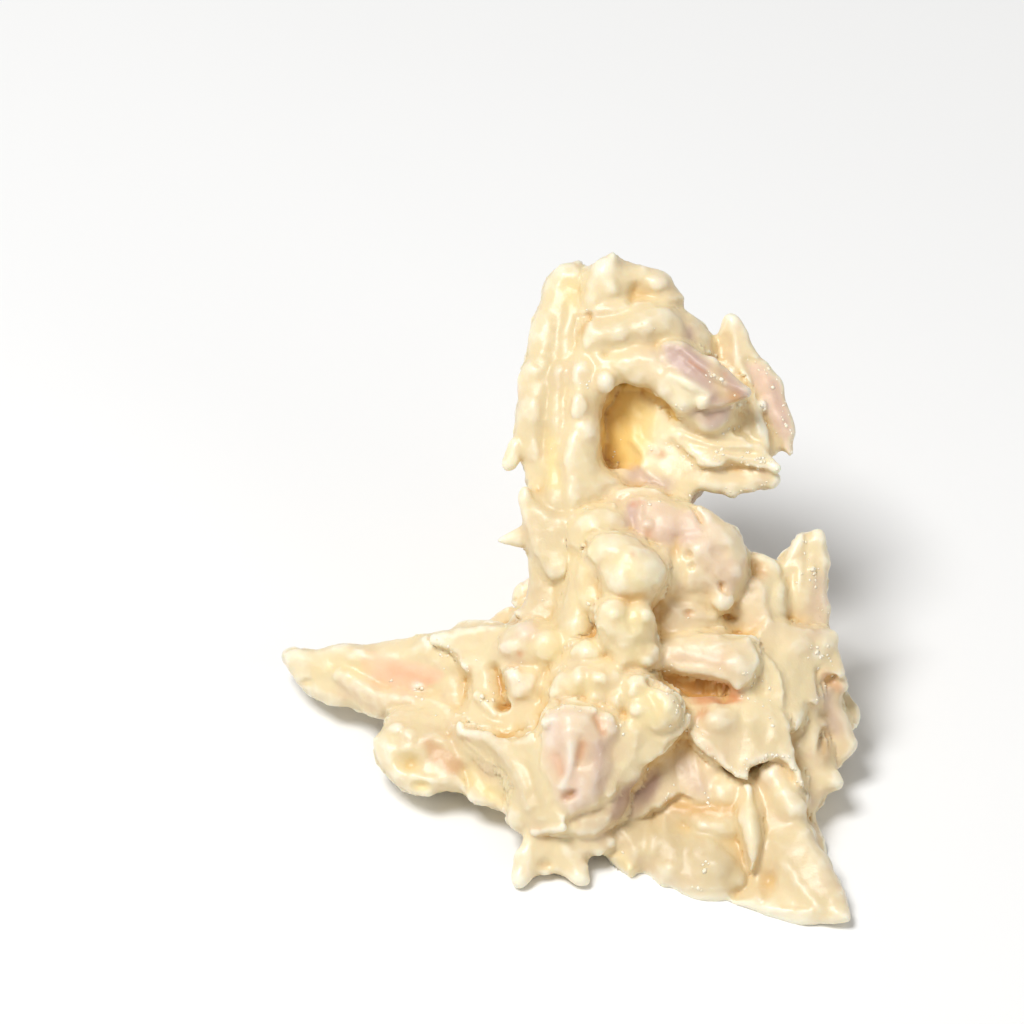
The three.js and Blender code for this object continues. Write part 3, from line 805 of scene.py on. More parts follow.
@dataclass(frozen=True)
class Spire(Region):
    """The tall leaf of chocolate at the right, and the almond that lies along it."""

    leaf: Sheet = Sheet(
        "14.6 25.8, 15.3 26.3, 16.5 27.4, 17.2 28.6, 17.5 29.6, 17.7 30.3, 18.4 30.6, 19.2 30.3, "
        "19.9 29.6, 20.5 28.4, 20.8 27.2, 21.5 26, 21.9 25.3, 21.3 25.2, 20.2 25.3, 19.8 25, 20.2 24.2, "
        "20.7 22.8, 21.3 21.4, 21.7 20, 22 18.6, 22.5 17.2, 22.8 15.4, 22 14.4, 20 14.2, 17.6 14.6, "
        "15.8 15.6, 15.6 18, 16 20, 15.6 22, 15 24",
        "18.4 29.6 -11.2, 16.2 26 -12.4, 19.3 26 -10.4, 20.2 22.4 -10, 21.4 18 -9.4, 18 20 -10.2, "
        "21.2 25.8 -11.2, 18.4 16 -9.4",
        thick=2.6, rim=0.7,
    )
    plate: Sheet = Sheet(
        "19.6 25.2, 21.9 25.2, 22.6 24.9, 23.4 23.8, 24.2 23.1, 24.6 22.3, 24.7 21.2, 25.1 19.8, "
        "25.6 18.4, 25.8 17, 25.6 16.4, 25.3 16.2, 25.6 15.2, 25.5 14.5, 25.2 14.2, 24.7 14.6, 24.2 15.4, "
        "24 15.9, 23.3 16.9, 22.6 18, 22.1 19.3, 21.6 20.2, 21 21.6, 20.3 23.2",
        "22 24 -11, 23.4 20 -10.4, 25 16 -10, 21.8 21.2 -10.6",
        thick=2.4, rim=0.55, torn=0.06, hue=Hue.PINK, strength=0.8,
    )
    stem: Rod = Rod((12, 27.5, -15), (20.5, 19, -14.6), (4.6, 4.4), 4.4)
    bead: Lump = Lump((22, 20.1, -10), (0.6, 0.8, 0.6))
    pith: Lump = Lump((16.4, 20.2, -9.4), (3.8, 3.2, 2.8))
    nape: Lump = Lump((12, 27, -11.6), (4.6, 4, 3.6))
    marks: Marks = (
        Mark("18.6 29.6, 19.1 27, 19.5 24.8, 20.6 22.3, 21.3 20.2, 21.8 17.2", 0.27, 0.7),
        Mark("17.6 27.2, 17.4 24.4, 18 21.4", -0.21, 0.98),
        Mark("22.4 23.6, 23.4 20.4, 24.6 17.2", 0.18, 0.56),
        Mark("21 22.4, 21.9 20, 22.6 18", -0.21, 0.42),
        *dabs("16.6 25.6 0.9 1 0.3, 19.6 19.3 0.7 1 -0.4"),
    )
    tints: Tints = (
        # painted shade in the pit on the leaf
        Tint("19.6 19.3, 18.6 21", Hue.AMBER, 0.8, 0.5),
        # painted shade along the groove in the leaf
        Tint("16.4 24, 17.4 21.4", Hue.YELLOW, 0.9, 0.4),
        Tint("23.4 22.6, 24.6 18.2", Hue.MAUVE, 0.7, 0.4),
        Tint("22 20.2", Hue.WHITE, 0.6, 0.8),
    )


@dataclass(frozen=True)
class Column(Region):
    """The column below the arm, with a leaf of chocolate folded over its left side."""

    leaf: Sheet = Sheet(
        "-5.3 10.9, -4.4 11.1, -3.7 9.9, -2.8 8.9, -1.6 8.1, -0.6 8, 0 8.1, 0.2 6.5, 0.1 4.5, 0.1 2.6, "
        "-0.1 1.2, -1.1 0.4, -2.1 0.8, -3 2.2, -4 4.1, -4.6 6, -5.2 8, -5.6 9.6",
        "-4.6 9.5 -5.2, -2 5 -4.3, -1 1.5 -3.8",
        thick=2.6, rim=1.1,
    )
    left: Sheet = Sheet(
        "-4.1 4, -3 3, -1 0, 1 3, 1.5 0, 1.5 -6, -1 -8, -4 -5, -6.1 -3.3, -5 -2.5, -4.2 -0.9, -4.4 1, "
        "-4.4 2.6",
        "-3.6 -1 -5.8, -1 -3 -4.6, -3.4 2 -6",
        thick=4, rim=1.4,
    )
    right: Sheet = Sheet(
        "0.1 7.9, 1.2 8.2, 2.6 8.4, 4.2 8.9, 5.4 9.4, 6.2 8, 6.6 6, 6 4, 4 3, 3.4 1, 3.4 -1, 3.2 -3, "
        "3 -6, 3.5 -8.5, 2 -10, -1 -10, -2 -7, -1 -3, 0 0, 0.2 3, 0.3 4.4, 0 5, 0 6.5",
        "3 7 -3.1, 2.6 1 -2.1, 1.4 -6 -1.1, 0 -9 -1",
        thick=5, rim=2.4,
    )
    root: Rod = Rod((-2, 7, -9.2), (-2, -5, -7.6), (4.6, 5.4), 5)
    marks: Marks = (
        Mark("0.3 4.5, 1.9 3.8, 3 2.6, 3.4 1.6", 0.24, 0.63),
        Mark("0.9 3.4, 2.2 2.6", -0.24, 0.7),
        Mark("-0.2 7, 0 4, -0.4 1.4", 0.24, 0.49),
        Mark("-4.2 8.6, -3.2 5.6, -2.4 2.8", -0.24, 0.98),
        Mark("2.9 0.4, 3 -2.4, 3.6 -5", -0.24, 0.84),
        Mark("1.1 0.4, 0.6 -3, 0.2 -6.4", 0.24, 1.12),
        *dabs("2.4 6.6 1.5 1.2 0.4, 1.6 -4.6 1.2 1.6 0.3"),
    )
    tints: Tints = (
        Tint("2.4 6.4, 1.8 0.4, 1.4 -6", Hue.YELLOW, 1.6, 0.3),
        # painted shade on the column's left side, which recedes
        Tint("-2 9, -2.6 3, -2.6 -3", Hue.DUSK, 2.4, 0.4),
        Tint("-4.5 -5", Hue.PINK, 1.2, 0.35),
    )


@dataclass(frozen=True)
class Middle(Region):
    """The middle: a round knob, a bare almond end and the big rounded cheek over it."""

    knob: Lump = Lump((7.3, 1.1, -0.3), (3.9, 3.5, 3.8))
    knob_top: Lump = Lump((5.9, 3.2, -1.2), (3.9, 2.6, 3.3), -15)
    saddle: Lump = Lump((3.9, 5.4, -4.8), (3.8, 3.4, 3))
    cradle: Lump = Lump((4, 0.8, -3.4), (3.2, 4.6, 3.2))
    under_knob: Lump = Lump((5.2, -1.6, -2.6), (4.2, 2.6, 3))
    beside_knob: Lump = Lump((10.6, 1.2, -3.6), (2.2, 3.4, 2.8))
    rim: Sheet = Sheet(
        "4.6 9.2, 5.2 10.2, 6.4 10.7, 8 10.9, 9.8 10.6, 11.2 9.9, 12.6 9.2, 13.8 8.9, 14.2 8, 12 8, "
        "9 8.6, 6.5 8.6",
        "7 9.8 -5.8, 12 9 -5.4",
        thick=2.6, rim=0.7,
    )
    almond: Sheet = Sheet(
        "6.4 8.8, 6.8 9.7, 7.8 10, 9 9.8, 11 9.4, 13 8.7, 14.3 8.6, 15 7, 15 5, 13.5 4.2, 11 4, 9.5 4.6, "
        "8 4.8, 7 5, 6.4 6, 6.2 7.4",
        "8 9.4 -4.4, 12 9.2 -4.2, 10.6 6.6 -2.3, 13.6 6.2 -2.4, 9 4.8 -2.5, 6.6 7.2 -3.8, 12 4.4 -2.8",
        thick=4, rim=0.9, hue=Hue.PINK, strength=0.6,
    )
    cheek: Sheet = Sheet(
        "13.9 8.8, 14.6 9, 15.6 8.5, 16.8 7.6, 18 6.9, 19 6.2, 19.6 5.4, 20 4.2, 20.3 3.2, 20.2 1.6, "
        "19.7 0.2, 19.3 -0.8, 18.6 -2, 17.8 -2.7, 16.8 -2.8, 16.3 -2.2, 15.6 -1.6, 14 -1.6, 12.6 -1, "
        "11.8 0.4, 12 2.2, 12.4 4, 12.8 5, 14 6, 14.6 7",
        "15.5 4.5 -1.1, 18.4 5 -2.1, 19 1 -2.4, 14 1 -1.5, 16 7 -2.6, 17.2 -1.8 -2.2",
        thick=5.4, rim=2.8,
    )
    cheek_core: Lump = Lump((14.9, 3, -6), (5, 5.2, 4.4))
    bulge: Lump = Lump((17.2, -1.7, -3.2), (1.4, 1.3, 1.5))
    jowl: Sheet = Sheet(
        "10.8 0.8, 11.5 -0.4, 13 -1.4, 15 -1.6, 17 -2.8, 17.2 -3.4, 16.7 -4.3, 15.8 -4.6, 14.4 -4.8, "
        "13.2 -5.6, 12 -6.2, 10.4 -6.7, 9.2 -6.7, 9.6 -5, 9.7 -3.6, 8.9 -2.2, 9.6 -1, 10.4 0",
        "11 -2 -3.2, 14 -3 -2.6, 11 -5.4 -2.8, 16.4 -3.6 -3.4",
        thick=4, rim=1.4,
    )
    marks: Marks = (
        Mark("14 8.9, 14.6 7.8, 15 7", -0.6, 0.3),
        Mark("12.2 5.2, 12 3.2, 11.4 1.2, 11 -0.4", -0.3, 0.56),
        Mark("15.8 1.3, 16.8 0.2, 17.9 -0.8", -0.27, 0.42),
                Mark("8.3 9.2, 8.1 7.4, 8.4 5.4", 0.3, 0.5),
        Mark("9.8 -0.6, 11.6 -1.6, 14 -2, 16.2 -3", -0.24, 0.49),
        Mark("16 7.4, 17.4 5.4, 18.6 3", 0.18, 0.98),
        Mark("13.4 4.6, 15.4 3.2, 16.6 2", 0.15, 0.84),
        *dabs("13.4 3.3 0.5 0.5 -0.5, 13.8 2.1 0.4 0.5 -0.4, 17.3 -0.2 0.5 0.5 -0.5, "
              "17 3.6 1 0.8 -0.3, 18.6 1.4 0.8 1 0.35, 9 6.7 0.6 0.6 0.45, 11 -0.9 0.5 0.5 -0.4, "
              "13.5 -3.2 0.6 0.4 -0.4, 7.1 3.6 1.2 0.8 0.3, 5.6 0.4 1 1.2 0.3"),
    )
    tints: Tints = (
        Tint("7.1 8.6, 7.2 6", Hue.MAUVE, 0.8, 0.75),
        Tint("9.5 5.6, 13.4 5.4", Hue.MAUVE, 1.5, 0.3),
        Tint("7.4 8.9", Hue.ORANGE, 0.45, 0.6),
        Tint("8.2 9.2", Hue.ORANGE, 0.35, 0.5),
        Tint("9 5.7", Hue.ORANGE, 0.5, 0.45),
        Tint("7.1 3.4", Hue.ORANGE, 0.4, 0.5),
        # painted shade under the knob
        Tint("6.4 -1.4, 8.2 -1.2", Hue.AMBER, 0.7, 0.6),
        # painted shade over the knob
        Tint("6.2 2.6, 7.6 0", Hue.YELLOW, 1.6, 0.35),
        Tint("15.2 6.2, 16.4 3.2, 17.6 0.8", Hue.PINK, 2, 0.5),
        Tint("11.4 -2.2, 14.6 -3.2, 11 -5", Hue.BEIGE, 1.4, 0.55),
        Tint("11 -0.6", Hue.ORANGE, 0.5, 0.4),
        Tint("13.5 -3.2", Hue.ORANGE, 0.5, 0.4),
    )


@dataclass(frozen=True)
class RightSide(Region):
    """The right side: a short tower, its shoulder, and the slivers that hang below it."""

    block: Sheet = Sheet(
        "19.9 0.6, 20.8 0.7, 21.8 0.5, 22.5 -0.2, 22.8 -1.6, 22.9 -2.8, 23.4 -3.8, 24.8 -4.8, 22 -5.8, "
        "20 -5.8, 17.8 -5.5, 17 -5, 17.2 -4, 17.8 -2.8, 18.6 -2, 19.4 -0.6",
        "20.8 -0.4 -5, 21 -4 -4.6, 18.4 -4.4 -5.2",
        thick=3.4, rim=1.2, hue=Hue.BEIGE, strength=0.4,
    )
    arch: Sheet = Sheet(
        "20.3 3.7, 21.2 3.6, 22.4 3.2, 23.4 2.5, 23.9 1.9, 24.2 0.6, 23.8 0, 22.6 0.4, 21.6 0.9, "
        "20.4 0.8, 19.9 1, 20.2 2.4",
        "21 2.6 -7.2, 23.4 1.2 -7.2",
        thick=3, rim=0.9,
    )
    tower: Sheet = Sheet(
        "24 2, 24.5 3, 25.2 4.2, 26 5.4, 26.4 5.8, 26.9 5.5, 27.3 5.4, 27.7 6, 28.4 6.2, 29 5.9, 29.2 5, "
        "29.2 4.2, 29.7 3, 29.9 2.2, 29.3 1.5, 29.2 0.4, 29.1 -0.8, 29.4 -1.8, 29.8 -2.7, 29.5 -3.6, "
        "29.3 -4.9, 28 -5.2, 26 -4.9, 24.6 -4.8, 23.2 -3.6, 22.8 -2, 23 -0.4, 23.9 0.6",
        "26.4 4.6 -8.8, 28.4 4 -9.2, 26 0 -8.2, 27.6 -3 -7.8, 24.4 -2.4 -7.4",
        thick=4, rim=0.9,
    )
    shoulder: Sheet = Sheet(
        "22.6 -3.4, 24 -4.4, 25.4 -4.8, 27 -4.9, 28.6 -5, 30.2 -5.3, 30.6 -6.2, 30.3 -7.1, 30.9 -8.5, "
        "31 -10, 30.4 -10.6, 29.6 -10.2, 29 -10, 28.6 -10.2, 28.7 -11, 28.6 -12, 27.8 -13.4, 26.6 -12.9, "
        "26.3 -13.6, 26.2 -14.8, 25.7 -15.8, 25 -16.4, 24.4 -15.4, 23.6 -13.8, 23.4 -12, 23.6 -10.4, "
        "22.8 -9, 21.8 -7.6, 20.8 -6, 21.8 -4.6",
        "23.6 -5 -4.4, 28 -6 -5, 25 -8 -2.7, 29.6 -8.6 -5.7, 25 -13 -1.4, 27.4 -12 -3",
        thick=4, rim=0.55, torn=0.12,
    )
    post: Sheet = Sheet(
        "25 -16.3, 25.2 -15, 26 -13.6, 26.7 -12.9, 27.4 -13.4, 28 -14.4, 28.6 -15, 29.4 -15.4, "
        "29.3 -16.4, 28.6 -16.4, 28 -16.6, 27.9 -17.6, 28.2 -18.8, 28.6 -19.8, 29.3 -20.5, 30.1 -20.8, "
        "31 -21.8, 30.9 -22.6, 30.3 -23.1, 29.2 -23.1, 28.5 -23.8, 28.2 -24.6, 27.7 -25.6, 27 -26.6, "
        "25.5 -25.8, 24.5 -24.5, 24.5 -22, 24.8 -19.6, 24.9 -18",
        "26.8 -15 -4.2, 26.4 -19 -2.4, 26.4 -24 -1.3, 29.6 -22 -1.9",
        thick=4, rim=1.7,
    )
    ear: Sheet = Sheet(
        "28.2 -10.4, 29.2 -10.4, 30.2 -10.6, 30.9 -10.4, 31.5 -11.6, 30.6 -12.4, 30.6 -13.6, 31.4 -14.8, "
        "31.9 -16, 32.1 -16.9, 32.7 -17.8, 32.3 -18.9, 31.4 -19.8, 30.4 -20.6, 29.7 -20.8, 28.6 -20, "
        "28 -18.4, 28 -16.6, 28.8 -15.6, 28.4 -14, 27.8 -12.6, 28.4 -11.4",
        "29.6 -12 -6.4, 31 -17.6 -6, 29.4 -14.6 -5.8, 29.4 -20 -6.4",
        thick=3.4, rim=0.9,
    )
    pith: tuple[Lump, ...] = (
        Lump((26.2, -1.6, -11), (3.2, 6.4, 3.6)), Lump((27.2, -11.6, -8.2), (3.2, 5.8, 3.6)),
        Lump((26.6, -20, -5.4), (2.8, 5.6, 3.4)), Lump((21.4, -2.4, -8.6), (4.2, 4, 3.8)),
    )
    marks: Marks = (
        Mark("25.3 1.2, 25.1 -1.6, 25.2 -4", -0.3, 0.56),
        Mark("26.9 5.2, 27 2.6, 26.9 0.2", -0.21, 0.49),
        Mark("28.6 4.8, 28.8 1.6, 28.6 -2.4", 0.18, 0.56),
        Mark("23.2 0.2, 22.9 -1.8, 23.4 -3.6", -0.3, 0.56),
        Mark("17.4 -3.4, 18.6 -3.8", -0.6, 0.35),
        Mark("28.2 -9.6, 28.6 -12", -0.6, 0.5),
        Mark("26.4 -16.4, 26.8 -19.4, 26.8 -22", -0.18, 0.84),
        *dabs("20.9 1.8 0.9 0.9 -0.3, 29.4 -10.9 0.9 0.5 -0.6 35, 25 -14.8 0.9 1.1 0.35, "
              "28.8 -17.2 0.6 1.5 -0.8 -12, 27.6 1.6 0.4 0.4 0.35, 26 -7 1.4 1 0.35, "
              "28.9 -7 0.9 1.2 0.3"),
    )
    tints: Tints = (
        Tint("20.2 2.4, 21.8 1.2", Hue.ORANGE, 0.8, 0.4),
        # painted shade in the crease at the block's left foot
        Tint("18 -3.6", Hue.AMBER, 0.5, 0.7),
        Tint("28.2 0.4, 28.2 -5", Hue.MAUVE, 1, 0.4),
        Tint("29 -10.4, 30.4 -11.6", Hue.ORANGE, 0.8, 0.55),
        Tint("28.8 -12.6, 30.2 -16", Hue.MAUVE, 1.2, 0.55),
        # painted shade in the pit between the post and the ear
        Tint("28.7 -16.8, 29 -19.2", Hue.AMBER, 0.8, 0.4),
        Tint("23.8 -5.4, 26.8 -7.2", Hue.BEIGE, 1.4, 0.35),
        Tint("26.6 -20.4, 26.6 -24", Hue.BEIGE, 1, 0.35),
        Tint("27.9 -7.8", Hue.WHITE, 0.5, 0.6),
    )


@dataclass(frozen=True)
class Shelf(Region):
    """The sliver that juts like a shelf under the cheek, with the sheet that runs on from it."""

    shelf: Sheet = Sheet(
        "9.9 -6.5, 10.6 -6.2, 12 -6, 13.2 -5.8, 14.8 -5.4, 16.7 -5.3, 17.4 -5.6, 18.8 -5.8, 20.3 -5.6, "
        "20.6 -6.2, 21 -7.2, 21.2 -8.6, 20.8 -9.8, 20.4 -10.6, 19.6 -11.2, 18.8 -11.7, 17.8 -11.2, "
        "17 -10.7, 15.6 -10.3, 13.2 -10, 11.4 -9.4, 9.8 -9, 9.2 -9.2, 9.8 -8.2, 10.4 -7.4",
        "10.4 -7 -0.8, 14 -6.2 -0.7, 14.6 -8 1.1, 18.7 -8.8 2.2, 20.6 -7 0.2, 19.2 -10.8 1.2, 13 -9.4 0.6",
        thick=3, rim=1.1, hue=Hue.BEIGE, strength=0.35,
    )
    web: Sheet = Sheet(
        "20.2 -5.8, 21.2 -6.6, 22.4 -8, 23.4 -9.2, 24 -10.6, 24.1 -12, 24 -13.6, 22.8 -13.4, 21.4 -12.8, "
        "20 -12.2, 20.4 -10.8, 20.8 -9.6, 20.8 -8",
        "21 -7 -1.6, 22.6 -10.6 -0.8, 22 -12.6 -0.3",
        thick=1.8, rim=0.35, torn=0.14,
    )
    sliver: Rod = Rod((13.6, -12.6, -1.6), (19.8, -12.1, -1), (2.4, 2.2), 2.2,
                      hue=Hue.ORANGE, strength=0.75)
    marks: Marks = (
        Mark("9.6 -10.2, 12.6 -11.2, 15 -11.4, 17.2 -11.9", -1.6, 0.7),
        Mark("10.2 -6.9, 13.4 -6.6, 17 -6.6", 0.18, 0.49),
        Mark("12.2 -8.4, 15.8 -9, 18.2 -9.8", -0.15, 0.56),
        Mark("20.4 -7.2, 21.8 -9.4, 22.4 -11.8", 0.15, 0.42),
        *dabs("18.7 -9 1.3 1.2 0.3, 12.4 -7.6 1.1 0.7 0.25"),
    )
    tints: Tints = (
        # painted shade in the slot under the shelf
        Tint("10.4 -10.6, 13.6 -11.4, 17.2 -11.9", Hue.BROWN, 0.8, 0.5),
        Tint("11.4 -8, 16.6 -8.2", Hue.PINK, 0.9, 0.4),
    )


@dataclass(frozen=True)
class Bib(Region):
    """The broad torn sheet below the shelf, and the one that shows under its edge."""

    bib: Sheet = Sheet(
        "16 -13, 17 -12.8, 18.2 -13.1, 19.2 -12.2, 20.2 -12, 21.8 -12.4, 23 -13, 23.7 -13.9, 24.4 -15.2, "
        "24.9 -16.6, 25.1 -18.2, 25 -19.1, 25.6 -20.4, 26.2 -21.8, 26.3 -22.6, 25.9 -22.7, 25.2 -21.4, "
        "24.6 -20, 24.1 -19.3, 23.6 -19.2, 23 -18.9, 22.6 -19.2, 21.9 -19.2, 21 -19.8, 20.2 -20.1, "
        "19.9 -20.8, 19.8 -21.4, 19.2 -21.3, 18.9 -21.5, 18.4 -21.2, 17.9 -20.6, 17.3 -20.4, 16.4 -19.4, "
        "15.4 -18.6, 14.4 -17.9, 13.7 -16.6, 13.5 -15.2, 14 -14.2, 15 -14.1, 15.5 -13.6",
        "15.8 -16 2.3, 22 -15 1.6, 18.6 -20 2.8, 24.4 -18 2, 19 -13 0.2, 23 -13.6 0, 25.8 -21.8 2.2, "
        "14.2 -15.4 1",
        thick=2, rim=0.45, torn=0.16,
    )
    bulge: Lump = Lump((16.8, -15.8, -0.6), (3.2, 2.8, 2.9))
    under: Sheet = Sheet(
        "13.5 -15.5, 14.5 -18, 16.5 -19.6, 17.3 -20.6, 16.8 -21.4, 16.4 -22.2, 16.4 -23, 16.2 -23.7, "
        "15.4 -24.3, 14.7 -24.4, 14 -24.1, 13.6 -23.7, 12.9 -23.5, 12.3 -23.4, 11.6 -23.7, 11.1 -23.5, "
        "10.9 -24.1, 10.3 -24.6, 9.7 -24.7, 9 -25.2, 7.9 -25.8, 7 -26, 6 -26.4, 5 -26.6, 4.2 -26.4, "
        "4.6 -24, 5.4 -22, 6.6 -20.8, 8.4 -19.8, 10 -18.8, 11 -17.6, 12.3 -16",
        "14 -17 -0.8, 14.8 -22 0.8, 10 -21 0.4, 6 -25.4 1.4, 12 -19 -0.2, 8 -21.4 1.2",
        thick=2.6, rim=0.4, torn=0.15, hue=Hue.BEIGE, strength=0.5,
    )
    marks: Marks = (
        Mark("20 -13.6, 19.9 -15, 20.3 -17.5, 21.3 -18.9", 0.14, 0.9),
        Mark("22.6 -14.2, 23.2 -16.6, 24.4 -19.2", 0.15, 0.7),
        Mark("14.6 -16.6, 16.6 -18.4, 18 -20.2", 0.15, 0.56),
        Mark("12.2 -17.4, 11.8 -20, 12.6 -23", -0.21, 0.56),
        Mark("14 -18.6, 14.6 -21, 15.2 -23.8", 0.15, 0.49),
        Mark("9.6 -20.4, 8 -22.6, 7.4 -25.2", 0.18, 0.56),
        Mark("6 -22.4, 8.4 -22, 10.4 -20.2", -0.18, 0.49),
        *dabs("17.8 -12.6 0.9 0.4 -0.4, 16.4 -15.2 1.4 1.2 0.3, 21.6 -16.2 1 1.4 -0.25"),
    )
    tints: Tints = (
        Tint("17.4 -12.5, 18.6 -12.5", Hue.ORANGE, 0.45, 0.7),
        Tint("15.1 -14, 14.3 -14.6", Hue.ORANGE, 0.55, 0.7),
        Tint("15.7 -18.2", Hue.ORANGE, 0.5, 0.4),
        Tint("15.4 -16, 18 -18", Hue.BEIGE, 1.6, 0.45),
        # painted shade across the lower bib
        Tint("16.4 -16, 20 -16.4, 23 -17.6", Hue.DUSK, 1.8, 0.4),
        Tint("4.8 -26, 5.4 -23, 8 -21.2, 10 -20.2, 9.8 -23, 7.4 -25.8",
             Hue.DEEP_MAUVE, 0.6, 0.85, filled=True),
        Tint("12.4 -19, 14.6 -22.6", Hue.MAUVE, 1.2, 0.35),
    )


@dataclass(frozen=True)
class Crown(Region):
    """The yellow-white knobs that crown the front."""

    bead: Sheet = Sheet(
        "3.3 -2.4, 3.8 -1.8, 4.8 -1.5, 5.8 -1.6, 6.6 -1.9, 7.1 -2, 7.7 -1.9, 8.5 -2, 9.2 -2.6, 9.5 -3.3, "
        "9.8 -3.9, 9.7 -4.6, 9.4 -5.4, 9.2 -6.2, 9.4 -7, 10 -7.6, 10.3 -8.2, 9.9 -8.9, 9.2 -9.6, "
        "8.4 -9.4, 7.4 -9.4, 6 -9.8, 5 -9, 5 -7.6, 4.6 -6.4, 3.8 -5.6, 3.1 -4.6",
        "5.6 -3.8 3.8, 8.4 -3.6 3, 7 -6 3.4, 8.2 -8 2.7",
        thick=5, rim=1.9,
    )
    knob: Lump = Lump((6.5, -4.9, 0.5), (3.3, 3.5, 3.2))
    lobe: Sheet = Sheet(
        "7 -10.4, 8 -9.8, 9.4 -10.4, 10.6 -10.9, 11.6 -11.6, 12.2 -12.6, 12.5 -13.4, 12.4 -14.4, "
        "11.6 -15.4, 10.4 -16.3, 9.4 -16.4, 8.4 -15.8, 7.2 -15, 6.3 -15.2, 6.2 -14, 6.2 -12.4, 6.4 -11.2",
        "9.8 -13.2 5.7, 8 -11.4 4.8",
        thick=6, rim=2.1,
    )
    shoulders: tuple[Lump, ...] = (
        Lump((3.2, -10.7, 1.2), (3.2, 2.2, 2.8), 10), Lump((0.6, -11.2, 0.6), (2.6, 2.2, 2.8)),
        Lump((5.8, -12.6, 2), (1.8, 2, 2.4)), Lump((2.2, -7.8, -0.6), (2.2, 1.8, 2.6)),
    )
    curds: tuple[Lump, ...] = tuple(
        Lump((right, rise, out), (size, 0.78 * size, 0.95 * size), turn)
        for right, rise, out, size, turn in (
            (4.5, -3.1, 2.2, 1.6, 30), (8.3, -3.3, 1.8, 1.7, -40), (6.5, -6, 2, 1.9, 10),
            (8.8, -7.9, 1, 1.6, 60), (7.6, -11.4, 3.4, 1.9, 20), (10.6, -12.6, 3.5, 2, -50),
            (9, -14.7, 3.5, 1.8, 15), (4.4, -10.6, 2.2, 2.1, -10), (1.6, -10.4, 1.8, 2.1, 30),
            (3, -12.4, 2.4, 1.6, 0), (-0.6, -11.8, 1.4, 1.7, 50),
        )
    )
    marks: Marks = (
        Mark("6.9 -2, 6.7 -3.4, 7 -4.8", -0.27, 0.49),
        Mark("4.6 -6.6, 6.2 -6.2, 8.6 -6.4", -0.24, 0.56),
        Mark("8 -11.4, 9.4 -13, 9.8 -15.2", -0.21, 0.56),
        Mark("6.3 -11.2, 6 -13.2, 6.4 -15.2", -0.24, 0.49),
        Mark("1.8 -9.4, 2 -11.2, 1.6 -12.8", -0.24, 0.56),
        Mark("4.4 -9.4, 4.8 -11.4", -0.21, 0.56),
        *dabs("5 -3.2 0.8 0.7 0.3, 8.6 -3.4 0.7 0.8 0.35, 10.9 -13.2 0.7 0.9 0.35, "
              "7.6 -13.6 0.8 0.9 0.3, 3.4 -10.2 1 0.7 0.3, 8.6 -8.4 0.7 0.6 0.3"),
    )
    tints: Tints = (
        Tint("5 -3.4, 8.4 -3.8, 7.4 -8", Hue.YELLOW, 1.4, 0.4),
        Tint("8.6 -12, 10.8 -13.6, 9 -15", Hue.YELLOW, 1.6, 0.45),
        Tint("3.4 -10.6, 0.4 -11.4", Hue.YELLOW, 1.4, 0.3),
    )


